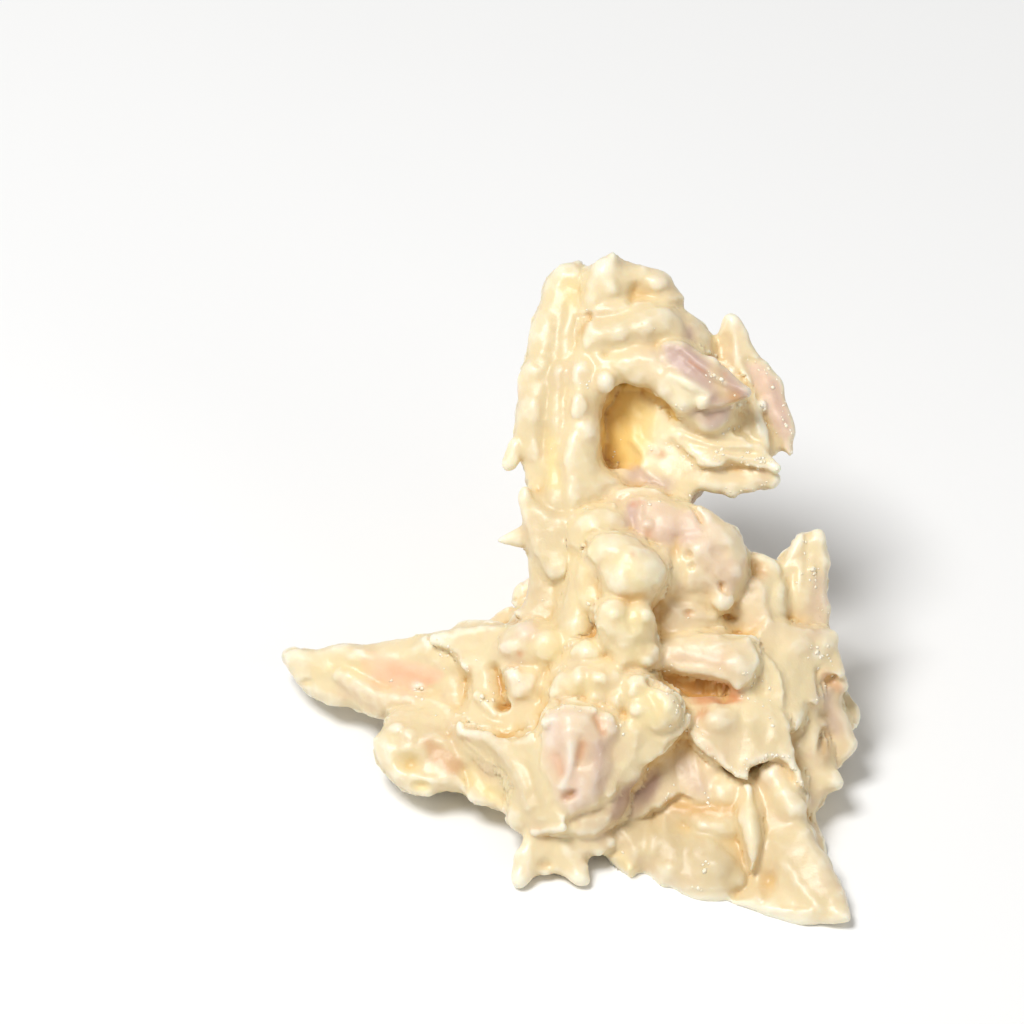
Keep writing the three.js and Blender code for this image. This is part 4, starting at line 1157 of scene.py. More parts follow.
@dataclass(frozen=True)
class Front(Region):
    """The thinly coated almond at the front, in a skirt of chocolate with two short feet."""

    almond: Sheet = Sheet(
        "-2.9 -14.4, -2.6 -13.6, -1.6 -13.3, -0.6 -12.9, 0.6 -13, 2.1 -13.3, 3.4 -13.5, 4.6 -13.9, "
        "5.5 -14.6, 6.1 -15.6, 6.1 -16.4, 5.8 -17.4, 5.4 -18.4, 5.6 -19.4, 5.4 -20.8, 4.8 -22, 4.2 -23.4, "
        "3.4 -24.4, 2.4 -24.8, 1.2 -25.2, 0.3 -25.8, -0.4 -25.4, -1.4 -24.6, -2.1 -23.2, -2.7 -21, "
        "-3.2 -18.7, -3 -16.6",
        "0.5 -17 7.9, 0 -23 7, 4.4 -15.4 6.6, 3.5 -20 6.8, -2.2 -18 6",
        thick=7, rim=2.9, hue=Hue.PINK, strength=0.4,
    )
    frost: tuple[Rod, ...] = (
        drip((-2.2, -15.2, 5.6), (-0.4, -13.8, 5.4), 0.8, 0.7),
        drip((-0.4, -13.8, 5.4), (2.6, -14.2, 5.6), 0.7, 0.8),
        drip((4.2, -14.9, 5.4), (5.3, -17.2, 4.8), 0.9, 0.6),
        drip((-2.4, -16.4, 4.8), (-2.4, -20.6, 4.6), 0.7, 0.6),
    )
    right_skirt: Sheet = Sheet(
        "5.9 -14.8, 7.4 -14.9, 9 -15.8, 10.4 -16.4, 11.8 -15.4, 12.8 -14.4, 13.5 -14.4, 13.4 -15.2, "
        "12.3 -16.4, 11.4 -17.2, 10.6 -18.2, 9.7 -19.3, 8.4 -19.9, 7.4 -20, 6.4 -20.8, 5.8 -21.8, "
        "5.4 -23, 4.6 -23.4, 4 -23, 4.4 -20, 5.2 -17.6, 5.6 -16",
        "6.6 -17 5.2, 10 -17 4.2, 12.6 -15.2 2.9, 5 -21.6 5.6, 8.4 -19 4.3",
        thick=3.2, rim=0.35, torn=0.16,
    )
    left_skirt: Sheet = Sheet(
        "-12.2 -15.2, -11.4 -16.2, -9.8 -16.6, -8.6 -16.6, -6 -17.4, -3.6 -16.4, -3 -18.6, -2.6 -21.4, "
        "-1.8 -23.8, -0.4 -25.6, -0.6 -27, -1.6 -27.2, -3 -27.2, -3.7 -27.6, -4.3 -26.6, -4.8 -25.2, "
        "-5.6 -23.8, -6.6 -22.2, -7.6 -21, -9.2 -19.9, -11 -18.4, -12.3 -16.8",
        "-10 -17.4 -1, -6 -20 2.2, -4 -24 4, -2 -26.4 4.9, -4 -18 3.6, -2.6 -22 5.2",
        thick=3, rim=0.45, torn=0.14,
    )
    low_skirt: Sheet = Sheet(
        "0.3 -25.9, 1.2 -25.2, 2.6 -24.9, 3.4 -24.5, 4.2 -24.6, 4.6 -25.4, 4.2 -26.4, 3.4 -27, 2.9 -27.4, "
        "1.6 -27.8, 0 -27.6, -1 -27.4, -0.6 -26.4",
        "0.6 -27 4.6, 3.6 -25.8 4.6, 1 -25.2 5.3",
        thick=3.4, rim=1.1, torn=0.14,
    )
    under_skirt: Sheet = Sheet(
        "-12.2 -16.8, -11 -18.8, -9 -20.4, -7.4 -21.6, -6.2 -23.4, -5.2 -25.4, -4.4 -27.4, -4.8 -27.8, "
        "-5.8 -26.6, -7 -25.6, -8.4 -24.6, -9.9 -24.5, -11.3 -23.6, -11 -21.8, -11.8 -19.8, -12.8 -18",
        "-11 -19.6 -3, -9 -23 -1.8, -5.4 -26 0.4",
        thick=3.4, rim=0.8,
    )
    feet: Sheet = Sheet(
        "-4.8 -27.4, -4.6 -28.6, -5.2 -29, -5.8 -29.6, -5.9 -30.7, -6.2 -32.1, -5.9 -33.1, -5.3 -33.5, "
        "-4.7 -33.2, -4 -32.5, -3.6 -32, -2.6 -32.1, -1.6 -31.8, -0.7 -31.9, 0.1 -32.5, 0.8 -33.1, "
        "1.7 -33.3, 2.4 -33.1, 2.5 -32.6, 2.1 -31.8, 2.3 -31, 1.8 -30.4, 1.9 -29.9, 2.6 -29.8, 3.4 -30, "
        "4.6 -29.3, 5.2 -28.4, 4 -27, 1.5 -26.8, -1 -26.6, -3.6 -26.8",
        "-4.2 -29.6 3.6, -5.2 -32.4 3.9, 0.6 -29 3.6, 1.4 -32.4 3.9, -1.8 -30.8 2.8, 4 -28.6 2.6",
        thick=2.2, rim=0.8,
    )
    core: Lump = Lump((0.9, -18.6, 2.6), (3.4, 4.8, 3.8), -8)
    fills: tuple[Lump, ...] = (
        Lump((-4.6, -25.4, 0.6), (2.2, 2.4, 2.6)), Lump((4.9, -24, 2.2), (1.8, 2, 2.4)),
        Lump((5.8, -20.4, 3), (2.4, 3, 2.2), -30), Lump((-1.6, -25.6, 2.6), (2.8, 1.8, 2.6)),
    )
    marks: Marks = (
        Mark("1.5 -16.8, 1.4 -18.4, 1 -19.8", -0.35, 0.5),
        Mark("0.2 -17.4, 0.2 -20, -0.8 -22.2", 0.3, 0.45),
        Mark("-1.1 -18.8, -0.6 -20.6", -0.21, 0.42),
        Mark("2.9 -14.4, 3.8 -16.2", -0.24, 0.42),
        Mark("-2.4 -15.2, -0.6 -14.4, 1.8 -14.6", 0.21, 0.56),
        Mark("3.2 -17.2, 3.4 -19.6, 2.6 -22.4", 0.21, 0.7),
        Mark("-2 -17.4, -2.2 -20.2, -1.4 -23.4", 0.21, 0.56),
        Mark("-3.8 -27.2, -2 -26.8, -0.3 -26.7", 0.24, 0.42),
        Mark("2.9 -27.2, 4 -26.5, 4.6 -25.3", 0.21, 0.42),
        Mark("-4.6 -28.6, -4.4 -30.4, -5.2 -32.4", 0.24, 0.84),
        Mark("-1 -28.2, 0.2 -30.2, 1.2 -32.2", 0.21, 0.84),
        Mark("-11 -15.6, -8 -17.8, -5.6 -20.8, -4.2 -24.4", 0.5, 0.8),
        Mark("-11.6 -17.4, -9 -19.4, -6.6 -22.6", -0.5, 0.7),
        Mark("-4.6 -18.4, -4.2 -21.4, -3.2 -24.8", -0.24, 0.7),
        Mark("-12 -19.7, -10.7 -21.6, -9.8 -23, -8.5 -24.2", 0.18, 0.56),
        Mark("-9.8 -19.8, -8.4 -22, -7 -24.4", -0.21, 0.7),
        Mark("7.6 -16.2, 7.2 -18.2, 6 -20.2", 0.21, 0.63),
        Mark("10.6 -17.2, 12.2 -15.6", 0.18, 0.49),
        *dabs("0.1 -23.1 0.9 0.6 -0.9 20, 2.4 -20.8 1 1.1 0.3, -2.4 -31 0.8 0.7 -0.5, "
              "4.6 -15.8 0.9 1 0.3, -0.4 -16.4 1.2 1.2 0.3"),
    )
    tints: Tints = (
        # painted shade in the pit on the almond
        Tint("-0.3 -23.3, 0.7 -22.9", Hue.BROWN, 0.5, 0.6),
        Tint("1.5 -17.4, 1.2 -18.8", Hue.ORANGE, 0.6, 0.6),
        Tint("-1.3 -19, -0.6 -20.6", Hue.ORANGE, 0.7, 0.55),
        Tint("0.2 -17.6, 0.2 -20.2, -0.6 -22.2", Hue.WHITE, 0.4, 0.6),
        Tint("-1.8 -14.8, -2 -17.2", Hue.WHITE, 0.7, 0.6),
        Tint("1.4 -21.4, 1.2 -23.8", Hue.WHITE, 0.4, 0.5),
        Tint("2.9 -14.6, 3.8 -16.2", Hue.ORANGE, 0.4, 0.5),
        Tint("-1.4 -15.4, -1.2 -19", Hue.PINK, 1.4, 0.4),
        Tint("3.4 -17.8, 3.2 -22.2", Hue.MAUVE, 1, 0.45),
        Tint("0.4 -20.4, 1.2 -23.4", Hue.PINK, 1.2, 0.45),
        Tint("-11 -21.4, -8.4 -23.4", Hue.YELLOW, 0.9, 0.6),
        # painted shade under the rope, across the left skirt
        Tint("-9 -18, -5.6 -21, -3.6 -25", Hue.DUSK, 2, 0.45),
    )


@dataclass(frozen=True)
class Tongue(Region):
    """The long low tongue at the left, and the lobe that hangs below it."""

    tongue: Sheet = Sheet(
        "-32.8 -8.1, -32.3 -7.5, -30 -7.5, -28.3 -7.4, -26.7 -7, -24.5 -6.7, -22.6 -7, -19.4 -7.1, "
        "-17.5 -6.5, -15.3 -5.6, -13.5 -5.4, -12.2 -4.6, -9.9 -4.1, -7 -4.3, -6 -6, -8 -8, -10.5 -10, "
        "-11.2 -12, -10.4 -14, -9.8 -15.6, -10 -16.4, -11.4 -16.4, -12.6 -15.2, -13.6 -14.8, -15.8 -14.6, "
        "-18 -15, -20 -15.4, -21.2 -15.3, -22.7 -14.8, -24.3 -14, -26.9 -14, -28.3 -13.3, -30 -12.1, "
        "-31.4 -10.5, -32.1 -9.5",
        "-31.4 -8.5 -16.8, -25 -9.4 -13.6, -18 -8.4 -10.6, -10 -6 -7, -12 -14 -6.8, -20 -13.4 -11, "
        "-27 -11.6 -14.8, -12 -10 -7.8",
        thick=3.4, rim=2,
    )
    rope: tuple[Rod, ...] = (
        drip((-31, -8.6, -18), (-25, -10.4, -14.6), 1.1, 1.6),
        drip((-25, -10.4, -14.6), (-20.6, -13, -12), 1.6, 1.5),
        drip((-20.6, -13, -12), (-14.6, -13.9, -8.6), 1.5, 1.3),
        drip((-14.6, -13.9, -8.6), (-12, -16.4, -5.6), 1.3, 1.2),
        drip((-12, -16.4, -5.6), (-7, -20.8, -1), 1.2, 1),
    )
    core: Rod = Rod((-7, -8.4, -8.6), (-27.5, -10, -16.8), (8, 5), 3.6)
    lobe: Sheet = Sheet(
        "-20.8 -15.4, -20.6 -15.9, -20.8 -16.7, -22 -17.1, -21.8 -17.8, -21.7 -18.8, -21.2 -20, "
        "-20.6 -20.8, -19.8 -21.9, -18.4 -23, -17.4 -23.4, -16.7 -23.7, -15.6 -23.9, -14.8 -23.5, "
        "-13.9 -23, -12.5 -23, -11.3 -23.6, -10.6 -22.6, -11 -21.2, -11.8 -19.6, -12.8 -17.6, "
        "-13.2 -15.6, -14.4 -14.4, -17 -14, -19.4 -14.4",
        "-19.6 -17 -4.6, -17 -19.6 -3.4, -13.4 -18.6 -3.2, -16 -22 -2.6, -17 -15 -5.6",
        thick=5, rim=2.4,
    )
    marks: Marks = (
        Mark("-27.6 -9.1, -25 -10.2, -21.9 -12.2, -19.3 -12.9, -15.8 -12.9, -13.5 -13.8", 0.21, 0.84),
        Mark("-28 -12.2, -24.4 -13.2, -21.4 -14.6", 0.18, 0.84),
        Mark("-30 -8, -25.4 -7.6, -20 -7.9, -15.4 -6.8, -11 -5.2", 0.24, 0.98),
        Mark("-26 -9.2, -22 -10.9, -18.8 -12, -15 -12", -0.24, 0.98),
        Mark("-21.4 -15.8, -18.4 -15.2, -15.2 -15.4, -13.4 -16.4", -0.3, 0.7),
        Mark("-17.3 -21.2, -15.6 -21.9, -13.8 -21.8", 0.24, 0.56),
        Mark("-20.4 -16.6, -20.2 -18.8, -19 -21.2", 0.21, 0.7),
        Mark("-16.2 -16.6, -13.6 -18.2, -12 -20", 0.18, 0.84),
        Mark("-13.4 -16.6, -12.6 -18.4, -11.6 -20.4", -0.24, 0.56),
        *dabs("-17.7 -19.8 1.3 1 -0.8, -16.3 -22.5 1.1 0.6 -0.5, -19.2 -16.1 0.8 0.7 0.4, "
              "-17.6 -16.8 0.8 0.7 0.35, -29.5 -11.2 0.7 0.5 -0.4, -16.9 -11.6 0.8 0.35 0.35, "
              "-23.4 -8.4 1.6 0.8 0.3, -13.6 -8.6 1.5 1.2 0.3"),
    )
    tints: Tints = (
        Tint("-22.9 -7.9, -17.5 -8.9, -14.2 -9.8, -14.2 -10.7, -16.1 -11.7, -18.7 -12.4, -22.4 -10.7",
             Hue.PEACH, 0.5, 0.8, filled=True),
        Tint("-19.6 -9.8, -15.6 -10.8", Hue.ORANGE, 0.8, 0.3),
        Tint("-16.9 -11.6", Hue.WHITE, 0.5, 0.7),
        Tint("-16 -17.1, -13.2 -18.6, -11.6 -20, -12.9 -21.1, -14.9 -20, -15.8 -18.3",
             Hue.ORANGE, 0.5, 0.6, filled=True),
        # painted shade in a pit of the lobe
        Tint("-17.7 -19.8", Hue.YELLOW, 1.2, 0.6),
        # painted shade in a pit of the lobe
        Tint("-16.3 -22.4", Hue.YELLOW, 0.8, 0.6),
        # painted shade over the lobe
        Tint("-16.6 -17.4, -12.6 -19.8", Hue.DUSK, 2.4, 0.35),
        Tint("-28 -9.6, -22.6 -9.4", Hue.YELLOW, 1, 0.25),
    )


@dataclass(frozen=True)
class Nest(Region):
    """The nest: a hollow with a curled rim where the tongue meets the middle."""

    hub: Lump = Lump((-4, -7, -5), (3.6, 3, 3.2))
    low: Lump = Lump((-4.4, -11.2, -4), (2.8, 2.4, 2.9))
    yolk: Lump = Lump((-2, -7, -2.8), (2.3, 2.2, 2))
    flap: Sheet = Sheet(
        "-15 -6, -13.5 -6.9, -12.4 -7.6, -11.8 -8.5, -11.3 -9.6, -10.6 -10.1, -10.9 -11.2, -10.5 -12.3, "
        "-10.1 -13.4, -9.5 -14.3, -8.6 -15, -7.4 -15.6, -5.6 -16, -3 -15.6, -1 -12, -1 -8, -3 -5, "
        "-7 -4.6, -11 -5",
        "-13.4 -6.3 -7.2, -10.2 -9 -5.4, -9.8 -12.5 -4.4, -8.4 -14.4 -3.4, -4.4 -14.8 -1.4, -5 -9 -2.8, "
        "-2.4 -11.5 -1.6, -7 -6 -4.6",
        thick=4.5, rim=0.45, torn=0.16,
    )
    frill: Rod = drip((-9.9, -12.4, -4.6), (-8, -14.6, -3.6), 0.8, 0.7)
    marks: Marks = (
        Mark("-6.6 -9.4, -5.6 -11.6, -6.2 -13", 0.24, 0.7),
        Mark("-2.2 -9.2, -3.4 -11.2, -3 -13", -0.24, 0.56),
        Mark("-14.8 -6.4, -13.2 -7.4, -11.8 -8.8, -11.3 -9.8", 0.21, 0.39),
        Mark("-8.4 -9.4, -7.9 -11.4, -7.4 -13.4", -1.2, 0.65),
        *dabs("-7.2 -13.4 0.7 0.6 -1, -6 -10 0.9 0.8 0.5, -6.9 -7.2 1.6 0.9 0.35 20, "
              "-4.6 -5.2 1.2 0.9 0.3, -9.5 -12.5 0.35 0.35 0.35"),
    )
    tints: Tints = (
        # painted shade in the pit of the nest
        Tint("-7.4 -13.6", Hue.AMBER, 0.6, 0.7),
        Tint("-5.3 -7.7", Hue.ORANGE, 0.4, 0.6),
        Tint("-2 -7", Hue.YELLOW, 1.8, 0.5),
        Tint("-4.5 -5", Hue.PINK, 1.1, 0.35),
        # painted shade along the flap's curled edge
        Tint("-10.9 -9.4, -11.2 -12.4", Hue.AMBER, 0.3, 0.4),
    )


@dataclass(frozen=True)
class Foot(Region):
    """The broad lobe along the bottom and the pointed cone at its right."""

    slab: Sheet = Sheet(
        "3.4 -28, 4.6 -29.2, 3.8 -30.1, 5.4 -31.4, 6.6 -32.3, 7.4 -32.9, 7.5 -32.4, 7.4 -31.8, 8.4 -31.6, "
        "9.2 -32, 9.8 -33, 10.4 -33.5, 11.6 -33.7, 12.2 -34.6, 13.4 -35, 15 -35.3, 17.4 -35.1, "
        "18.4 -34.6, 18.8 -34, 19.6 -33.6, 19.9 -33.2, 19.9 -32.3, 19.6 -31.2, 18.9 -30, 18 -29, "
        "16.8 -28, 15.2 -27.2, 13.8 -26.8, 12.8 -26.9, 12 -25.9, 11.4 -25, 10.4 -24.8, 9.2 -26, 8 -26.1, "
        "6 -26.6, 4 -27.2",
        "8 -29 2.4, 12 -29 3.4, 16 -31 5, 18.5 -32 4.7, 9.4 -26.8 1.6, 13.4 -33.6 5, 5 -30.4 2.6",
        thick=5, rim=2.8,
    )
    cone: Sheet = Sheet(
        "20 -25, 21.4 -24, 23 -24.4, 24.5 -25.4, 26 -26.2, 26.9 -26.8, 27.2 -27.8, 28 -29, 28.8 -30.2, "
        "29.4 -31.6, 30.1 -32.8, 30.6 -33.4, 30.7 -34.2, 30.9 -35.2, 31.3 -36.3, 30.9 -37, 30 -37.2, "
        "28.8 -37.3, 27.4 -37.2, 25.8 -37.5, 24.4 -37.3, 23.4 -37, 22 -36.6, 20.8 -36.2, 19.1 -35.7, "
        "17.6 -35.1, 19 -34.2, 20 -33.2, 20 -32.2, 20.4 -31, 20.8 -29.6, 21 -28, 20.8 -26.4",
        "23.5 -27 3.5, 26 -31 6.2, 29.5 -35 8.6, 22 -32.6 3.9, 22 -35.6 7.2, 27 -36.4 8.6, 19.2 -35 5.8, "
        "24.6 -31.6 6.4",
        thick=5, rim=1.9,
    )
    spindle: Sheet = Sheet(
        "19.3 -22, 20.1 -21.6, 20.6 -23, 21.2 -24.8, 21.6 -26.2, 21.4 -28, 21 -29.8, 20.6 -31.2, "
        "20.1 -31.6, 19.9 -30.4, 19.6 -28.6, 19 -27, 18.6 -25.6, 18.8 -24, 19.1 -23",
        "19.8 -23 2.6, 20.3 -27 4.5, 20.4 -30.6 5.4",
        thick=4, rim=1.3,
    )
    valley: Rod = Rod((11.5, -25.4, -1.6), (19.4, -26.2, 0.6), (3.8, 4.2), 4)
    trough: Rod = Rod((22, -23.6, -0.8), (22, -31, 2.4), (3.4, 3), 3.2)
    gusset: Lump = Lump((17, -27.2, 0.3), (3.4, 1.8, 2.4))
    stopper: Lump = Lump((17.8, -23.4, -0.8), (2.8, 2.6, 2.6))
    finger: Sheet = Sheet(
        "21 -20.2, 22 -19.6, 23.2 -19.2, 24 -20, 25 -21.6, 26 -23.2, 26.6 -24.4, 26.2 -25.8, 25 -26.6, "
        "23.8 -26.2, 22.6 -24.8, 21.6 -23, 21 -21.6",
        "22.6 -21 1.6, 24.6 -24 3.2",
        thick=3.6, rim=2,
    )
    ledge: Rod = Rod((4.6, -26.4, -2.6), (19, -25, -3.6), (4, 5), 4)
    edge: Rod = Rod((27, -26.5, -3.2), (28.4, -31, -0.6), (2, 2), 2.8)
    marks: Marks = (
        Mark("8.8 -26.4, 9.4 -28, 9.4 -29.6", 0.24, 0.7),
        Mark("6.2 -27.4, 7.4 -29.6, 7.2 -31.6", 0.21, 0.7),
        Mark("11.4 -26.2, 12.4 -28.6, 13 -31", -0.18, 0.98),
        Mark("15.4 -28.4, 17.4 -30, 18.8 -32", 0.18, 0.84),
        Mark("12.2 -34.1, 14.6 -34, 18.9 -33.9", -0.18, 0.42),
        Mark("24.2 -31, 25.4 -33, 27.5 -35.3", 0.27, 0.7),
        Mark("21.6 -26, 22.4 -29.6, 22 -32.6", -0.24, 0.84),
        Mark("17.9 -34.9, 22 -35.6, 26.5 -35.9", 0.21, 0.42),
        Mark("20.2 -22.6, 20.2 -26, 20.4 -30", 0.18, 0.56),
        *dabs("14.4 -26.4 1.2 0.9 0.4, 22 -32.8 0.9 1.3 -0.5, 23.4 -27 1.4 1.2 -0.3, "
              "16.4 -31.2 1.6 1.2 0.3, 10.6 -31.4 1.2 1 0.3, 5.2 -28.6 0.9 0.7 0.3"),
    )
    tints: Tints = (
        # painted shade in the valley between the bib and the slab
        Tint("11.4 -24.4, 13.4 -24.9, 18 -24.8", Hue.AMBER, 0.9, 0.65),
        # painted shade in the pit at the cone's left
        Tint("21.8 -32.6, 21.4 -34", Hue.AMBER, 0.8, 0.3),
        Tint("6 -30.4, 7.2 -31.8", Hue.YELLOW, 0.8, 0.5),
        # painted shade over the slab, which faces down and away from the light
        Tint("8 -26.8, 11 -28.6, 15 -30.4, 18 -31.2", Hue.DUSK, 3.2, 0.75),
        # painted shade down the cone
        Tint("22 -26, 24.4 -30, 27.6 -34", Hue.DUSK, 2.2, 0.4),
        Tint("20.3 -24, 20.4 -29", Hue.YELLOW, 0.6, 0.3),
    )


@dataclass(frozen=True)
class Back(Region):
    """The back: slivers lying over each other from the surface up to the arm."""

    slivers: tuple[Rod, ...] = tuple(
        Rod(start, end, widths, thickness, turn, standing=True, hue=hue, strength=0.5)
        for start, end, widths, thickness, turn, hue in (
            ((-10, 10.6, 3.6), (8, 17.5, 3.2), (5.2, 5.2), 3.5, 60, None),
            ((9, 18, 3), (25, 12, 3.6), (5.2, 4.8), 3.5, 50, Hue.BEIGE),
            ((24, 12.4, 6.6), (31, -1, 5), (4.8, 5.2), 3.1, 40, None),
            ((-4, 14.4, 9.4), (11, 22, 15), (5, 4.6), 3.1, 70, Hue.PINK),
            ((2, 27.6, 20), (-1.8, 30.4, 35), (4.8, 4.2), 3.1, 0, None),
            ((13, 26, 25), (5, 33.4, 38), (5, 4.2), 3.1, 0, Hue.BEIGE),
            ((12, 19.6, 8.4), (22.6, 12.6, 13.6), (5, 4.4), 3.1, 30, None),
            ((19, 24, 26.6), (11, 24, 13), (4.8, 5.2), 3.1, 0, Hue.MAUVE),
            ((-16, 7, 4.2), (-5.6, 10.4, 9.4), (4.8, 4.4), 2.9, 60, Hue.BEIGE),
            ((1.6, 28.6, 14.6), (10.4, 29.8, 22.6), (5, 4.6), 3.1, 20, Hue.PINK),
            ((12.8, 27.8, 17), (8.4, 31.2, 31), (4.8, 4.4), 3.1, 0, None),
        )
    )


# ---------------------------------------------------------------- the skin


@dataclass
class Skin:
    """The one surface that all forms run together into."""

    inset: float = 1.0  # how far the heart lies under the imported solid's surface
    weld: float = 0.01  # corners nearer than this are one
    sole: float = 0.3  # what lies lower than this belongs to the sole
    cell: float = 0.24
    melt_rounds: int = 14
    hidden_rounds: int = 120  # more of them where the photograph doesn't look
    melt_renewal: int = 3  # after how many rounds the directions are worked out again
    hidden_renewal: int = 10
    fill: float = 0.5  # how fast a crease fills with chocolate
    wear: float = 0.05  # how fast a ridge softens
    hidden_wear: float = 0.3
    behind: tuple[float, float] = (0.7, 1.8)  # how far behind the front work fades, and ends
    crease_rounds: int = 10  # how broadly the skin is smoothed to find its creases
    dip_rounds: int = 70  # and its dips
    smoothing: float = 0.6
    swell: tuple[float, float] = (0.65, 4.2)  # height and spacing of broad unevenness
    ripple: tuple[float, float] = (0.1, 1.0)  # and of the small one
    curd: tuple[float, float] = (1.2, 2.6)  # and of the side that the photograph hides
    layers: int = 2
    hidden_share: float = 0.2  # of the faces that the photograph hides, how many are kept
    most_faces: int = 197_000
    view_cell: float = 0.35
    obj: bpy.types.Object | None = None

    def heart(self, node: bpy.types.Object) -> bpy.types.Object:
        """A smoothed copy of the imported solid, a little smaller, that fills the middle.

        Args:
            node: The solid as packed.

        Returns:
            The copy.
        """
        obj = node.copy()
        obj.data = node.data.copy()
        for key in list(obj.keys()):
            del obj[key]
        obj.parent = None
        obj.name = "heart"
        bpy.context.scene.collection.objects.link(obj)
        edit(obj)
        bpy.ops.mesh.remove_doubles(threshold=self.weld * MM)
        leave()
        apply(obj, "SUBSURF", levels=1, render_levels=1)
        sole = read(obj.data)[:, 2] < self.sole * MM
        apply(obj, "DISPLACE", strength=-self.inset * MM, mid_level=0.0)
        points = read(obj.data)
        points[sole, 2] = -self.inset * MM
        write(obj.data, points)
        return obj

    def join(self, parts: list[bpy.types.Object]) -> None:
        """Joins the parts into one closed skin and drops what is sealed inside.

        Args:
            parts: The parts, which are used up.
        """
        only(parts[0])
        for part in parts:
            part.select_set(True)
        bpy.ops.object.join()
        obj = bpy.context.object
        apply(obj, "REMESH", mode="VOXEL", voxel_size=self.cell * MM, use_smooth_shade=True)
        edit(obj)
        bpy.ops.mesh.separate(type="LOOSE")
        leave()
        shells = sorted(bpy.context.selected_objects, key=lambda o: -len(o.data.vertices))
        self.obj = shells[0]
        for shell in shells[1:]:
            bpy.data.objects.remove(shell)
        self.obj.name = "white_chocolate_cluster"
        LOG.info("skin: %d points, %d shells", len(self.obj.data.vertices), len(shells))

    def triangles(self) -> np.ndarray:
        """The corners of its triangles, one row each."""
        self.obj.data.calc_loop_triangles()
        flat = np.empty(len(self.obj.data.loop_triangles) * 3, np.int32)
        self.obj.data.loop_triangles.foreach_get("vertices", flat)
        return flat.reshape(-1, 3)

    def pairs(self) -> np.ndarray:
        """The two ends of each edge, one row each."""
        flat = np.empty(len(self.obj.data.edges) * 2, np.int32)
        self.obj.data.edges.foreach_get("vertices", flat)
        return flat.reshape(-1, 2)

    @staticmethod
    def normals(points: np.ndarray, triangles: np.ndarray) -> np.ndarray:
        """The direction in which the skin faces at each point.

        Args:
            points: Its points.
            triangles: Its triangles.

        Returns:
            A unit vector for each point.
        """
        a, b, c = (points[triangles[:, k]] for k in range(3))
        faces = np.cross(b - a, c - a)
        total = np.stack([
            sum(np.bincount(triangles[:, k], faces[:, axis], len(points)) for k in range(3))
            for axis in range(3)
        ], 1)
        return total / np.maximum(np.linalg.norm(total, axis=1), 1e-20)[:, None]

    @staticmethod
    def pull(points: np.ndarray, pairs: np.ndarray) -> np.ndarray:
        """The way from each point to the middle of its neighbours.

        Args:
            points: The points.
            pairs: The edges between them.

        Returns:
            A vector for each point.
        """
        count = len(points)
        a, b = pairs.T
        degree = np.bincount(a, minlength=count) + np.bincount(b, minlength=count)
        total = np.stack([
            np.bincount(a, points[b, axis], count) + np.bincount(b, points[a, axis], count)
            for axis in range(3)
        ], 1)
        return total / np.maximum(degree, 1)[:, None] - points

    def soften(
        self, points: np.ndarray, rounds: int, renewal: int, wear: float, share: np.ndarray | float
    ) -> None:
        """Moves points of the skin towards their neighbours, in creases and on ridges.

        Args:
            points: Its points, changed in place.
            rounds: How many times.
            renewal: After how many rounds the directions are worked out again.
            wear: How fast a ridge softens.
            share: How much of it each point takes part in.
        """
        triangles, pairs = self.triangles(), self.pairs()
        for turn in range(rounds):
            if turn % renewal == 0:
                normals = self.normals(points, triangles)
            pull = self.pull(points, pairs)
            hollow = (pull * normals).sum(1) > 0
            points += (share * np.where(hollow, self.fill, wear))[:, None] * pull

    def melt(self) -> None:
        """Fills creases as wet chocolate does, and hardly touches ridges but the hidden ones."""
        points = read(self.obj.data)
        self.soften(points, self.melt_rounds, self.melt_renewal, self.wear, 1.0)
        hidden = 1 - self.seen(points)[1]
        self.soften(points, self.hidden_rounds, self.hidden_renewal, self.hidden_wear, hidden)
        write(self.obj.data, points)

    def seen(self, points: np.ndarray) -> tuple[np.ndarray, np.ndarray]:
        """The points as the face shows them, and how openly each is seen.

        Args:
            points: The points, in metres.

        Returns:
            (right, rise, out) of each in millimetres, and a share for each.
        """
        face = moved(points, (FACE @ Matrix.Scale(MM, 4)).inverted())
        index = ((face[:, :2] - face[:, :2].min(0)) / self.view_cell).astype(int) + 1
        size = index.max(0) + 2
        nearest_out = np.full(size, -np.inf)
        np.maximum.at(nearest_out, tuple(index.T), face[:, 2])
        spread = nearest_out.copy()
        for i in (-1, 0, 1):
            for j in (-1, 0, 1):
                spread = np.maximum(spread, np.roll(nearest_out, (i, j), (0, 1)))
        behind = spread[tuple(index.T)] - face[:, 2]
        return face, 1 - soft_step(behind, *self.behind)

    def carve(self, regions: list[Region]) -> None:
        """Works the ridges, cracks and pits of each region into the skin.

        Args:
            regions: The regions.
        """
        points = read(self.obj.data)
        face, open_share = self.seen(points)
        chosen = open_share > 0
        places = face[chosen, :2]
        rise = np.zeros(len(places))
        for region in regions:
            for mark in region.marks:
                rise += mark.lift(places)
        normals = self.normals(points, self.triangles())[chosen]
        points[chosen] += normals * (rise * open_share[chosen])[:, None] * MM
        write(self.obj.data, points)

    def roughen(self) -> None:
        """Makes the skin uneven, broadly and finely."""
        open_share = self.seen(read(self.obj.data))[1]
        hidden = self.obj.vertex_groups.new(name="hidden")
        hidden.add(np.flatnonzero(open_share == 0).tolist(), 1.0, "REPLACE")
        for name, (height, spacing) in (
            ("swell", self.swell), ("ripple", self.ripple), ("hidden", self.curd)
        ):
            cloud = bpy.data.textures.new(name, "CLOUDS")
            cloud.noise_scale = spacing * MM
            cloud.noise_depth = self.layers
            group = name if name == "hidden" else ""
            apply(self.obj, "DISPLACE", texture=cloud, strength=height * MM, mid_level=0.5,
                  vertex_group=group)

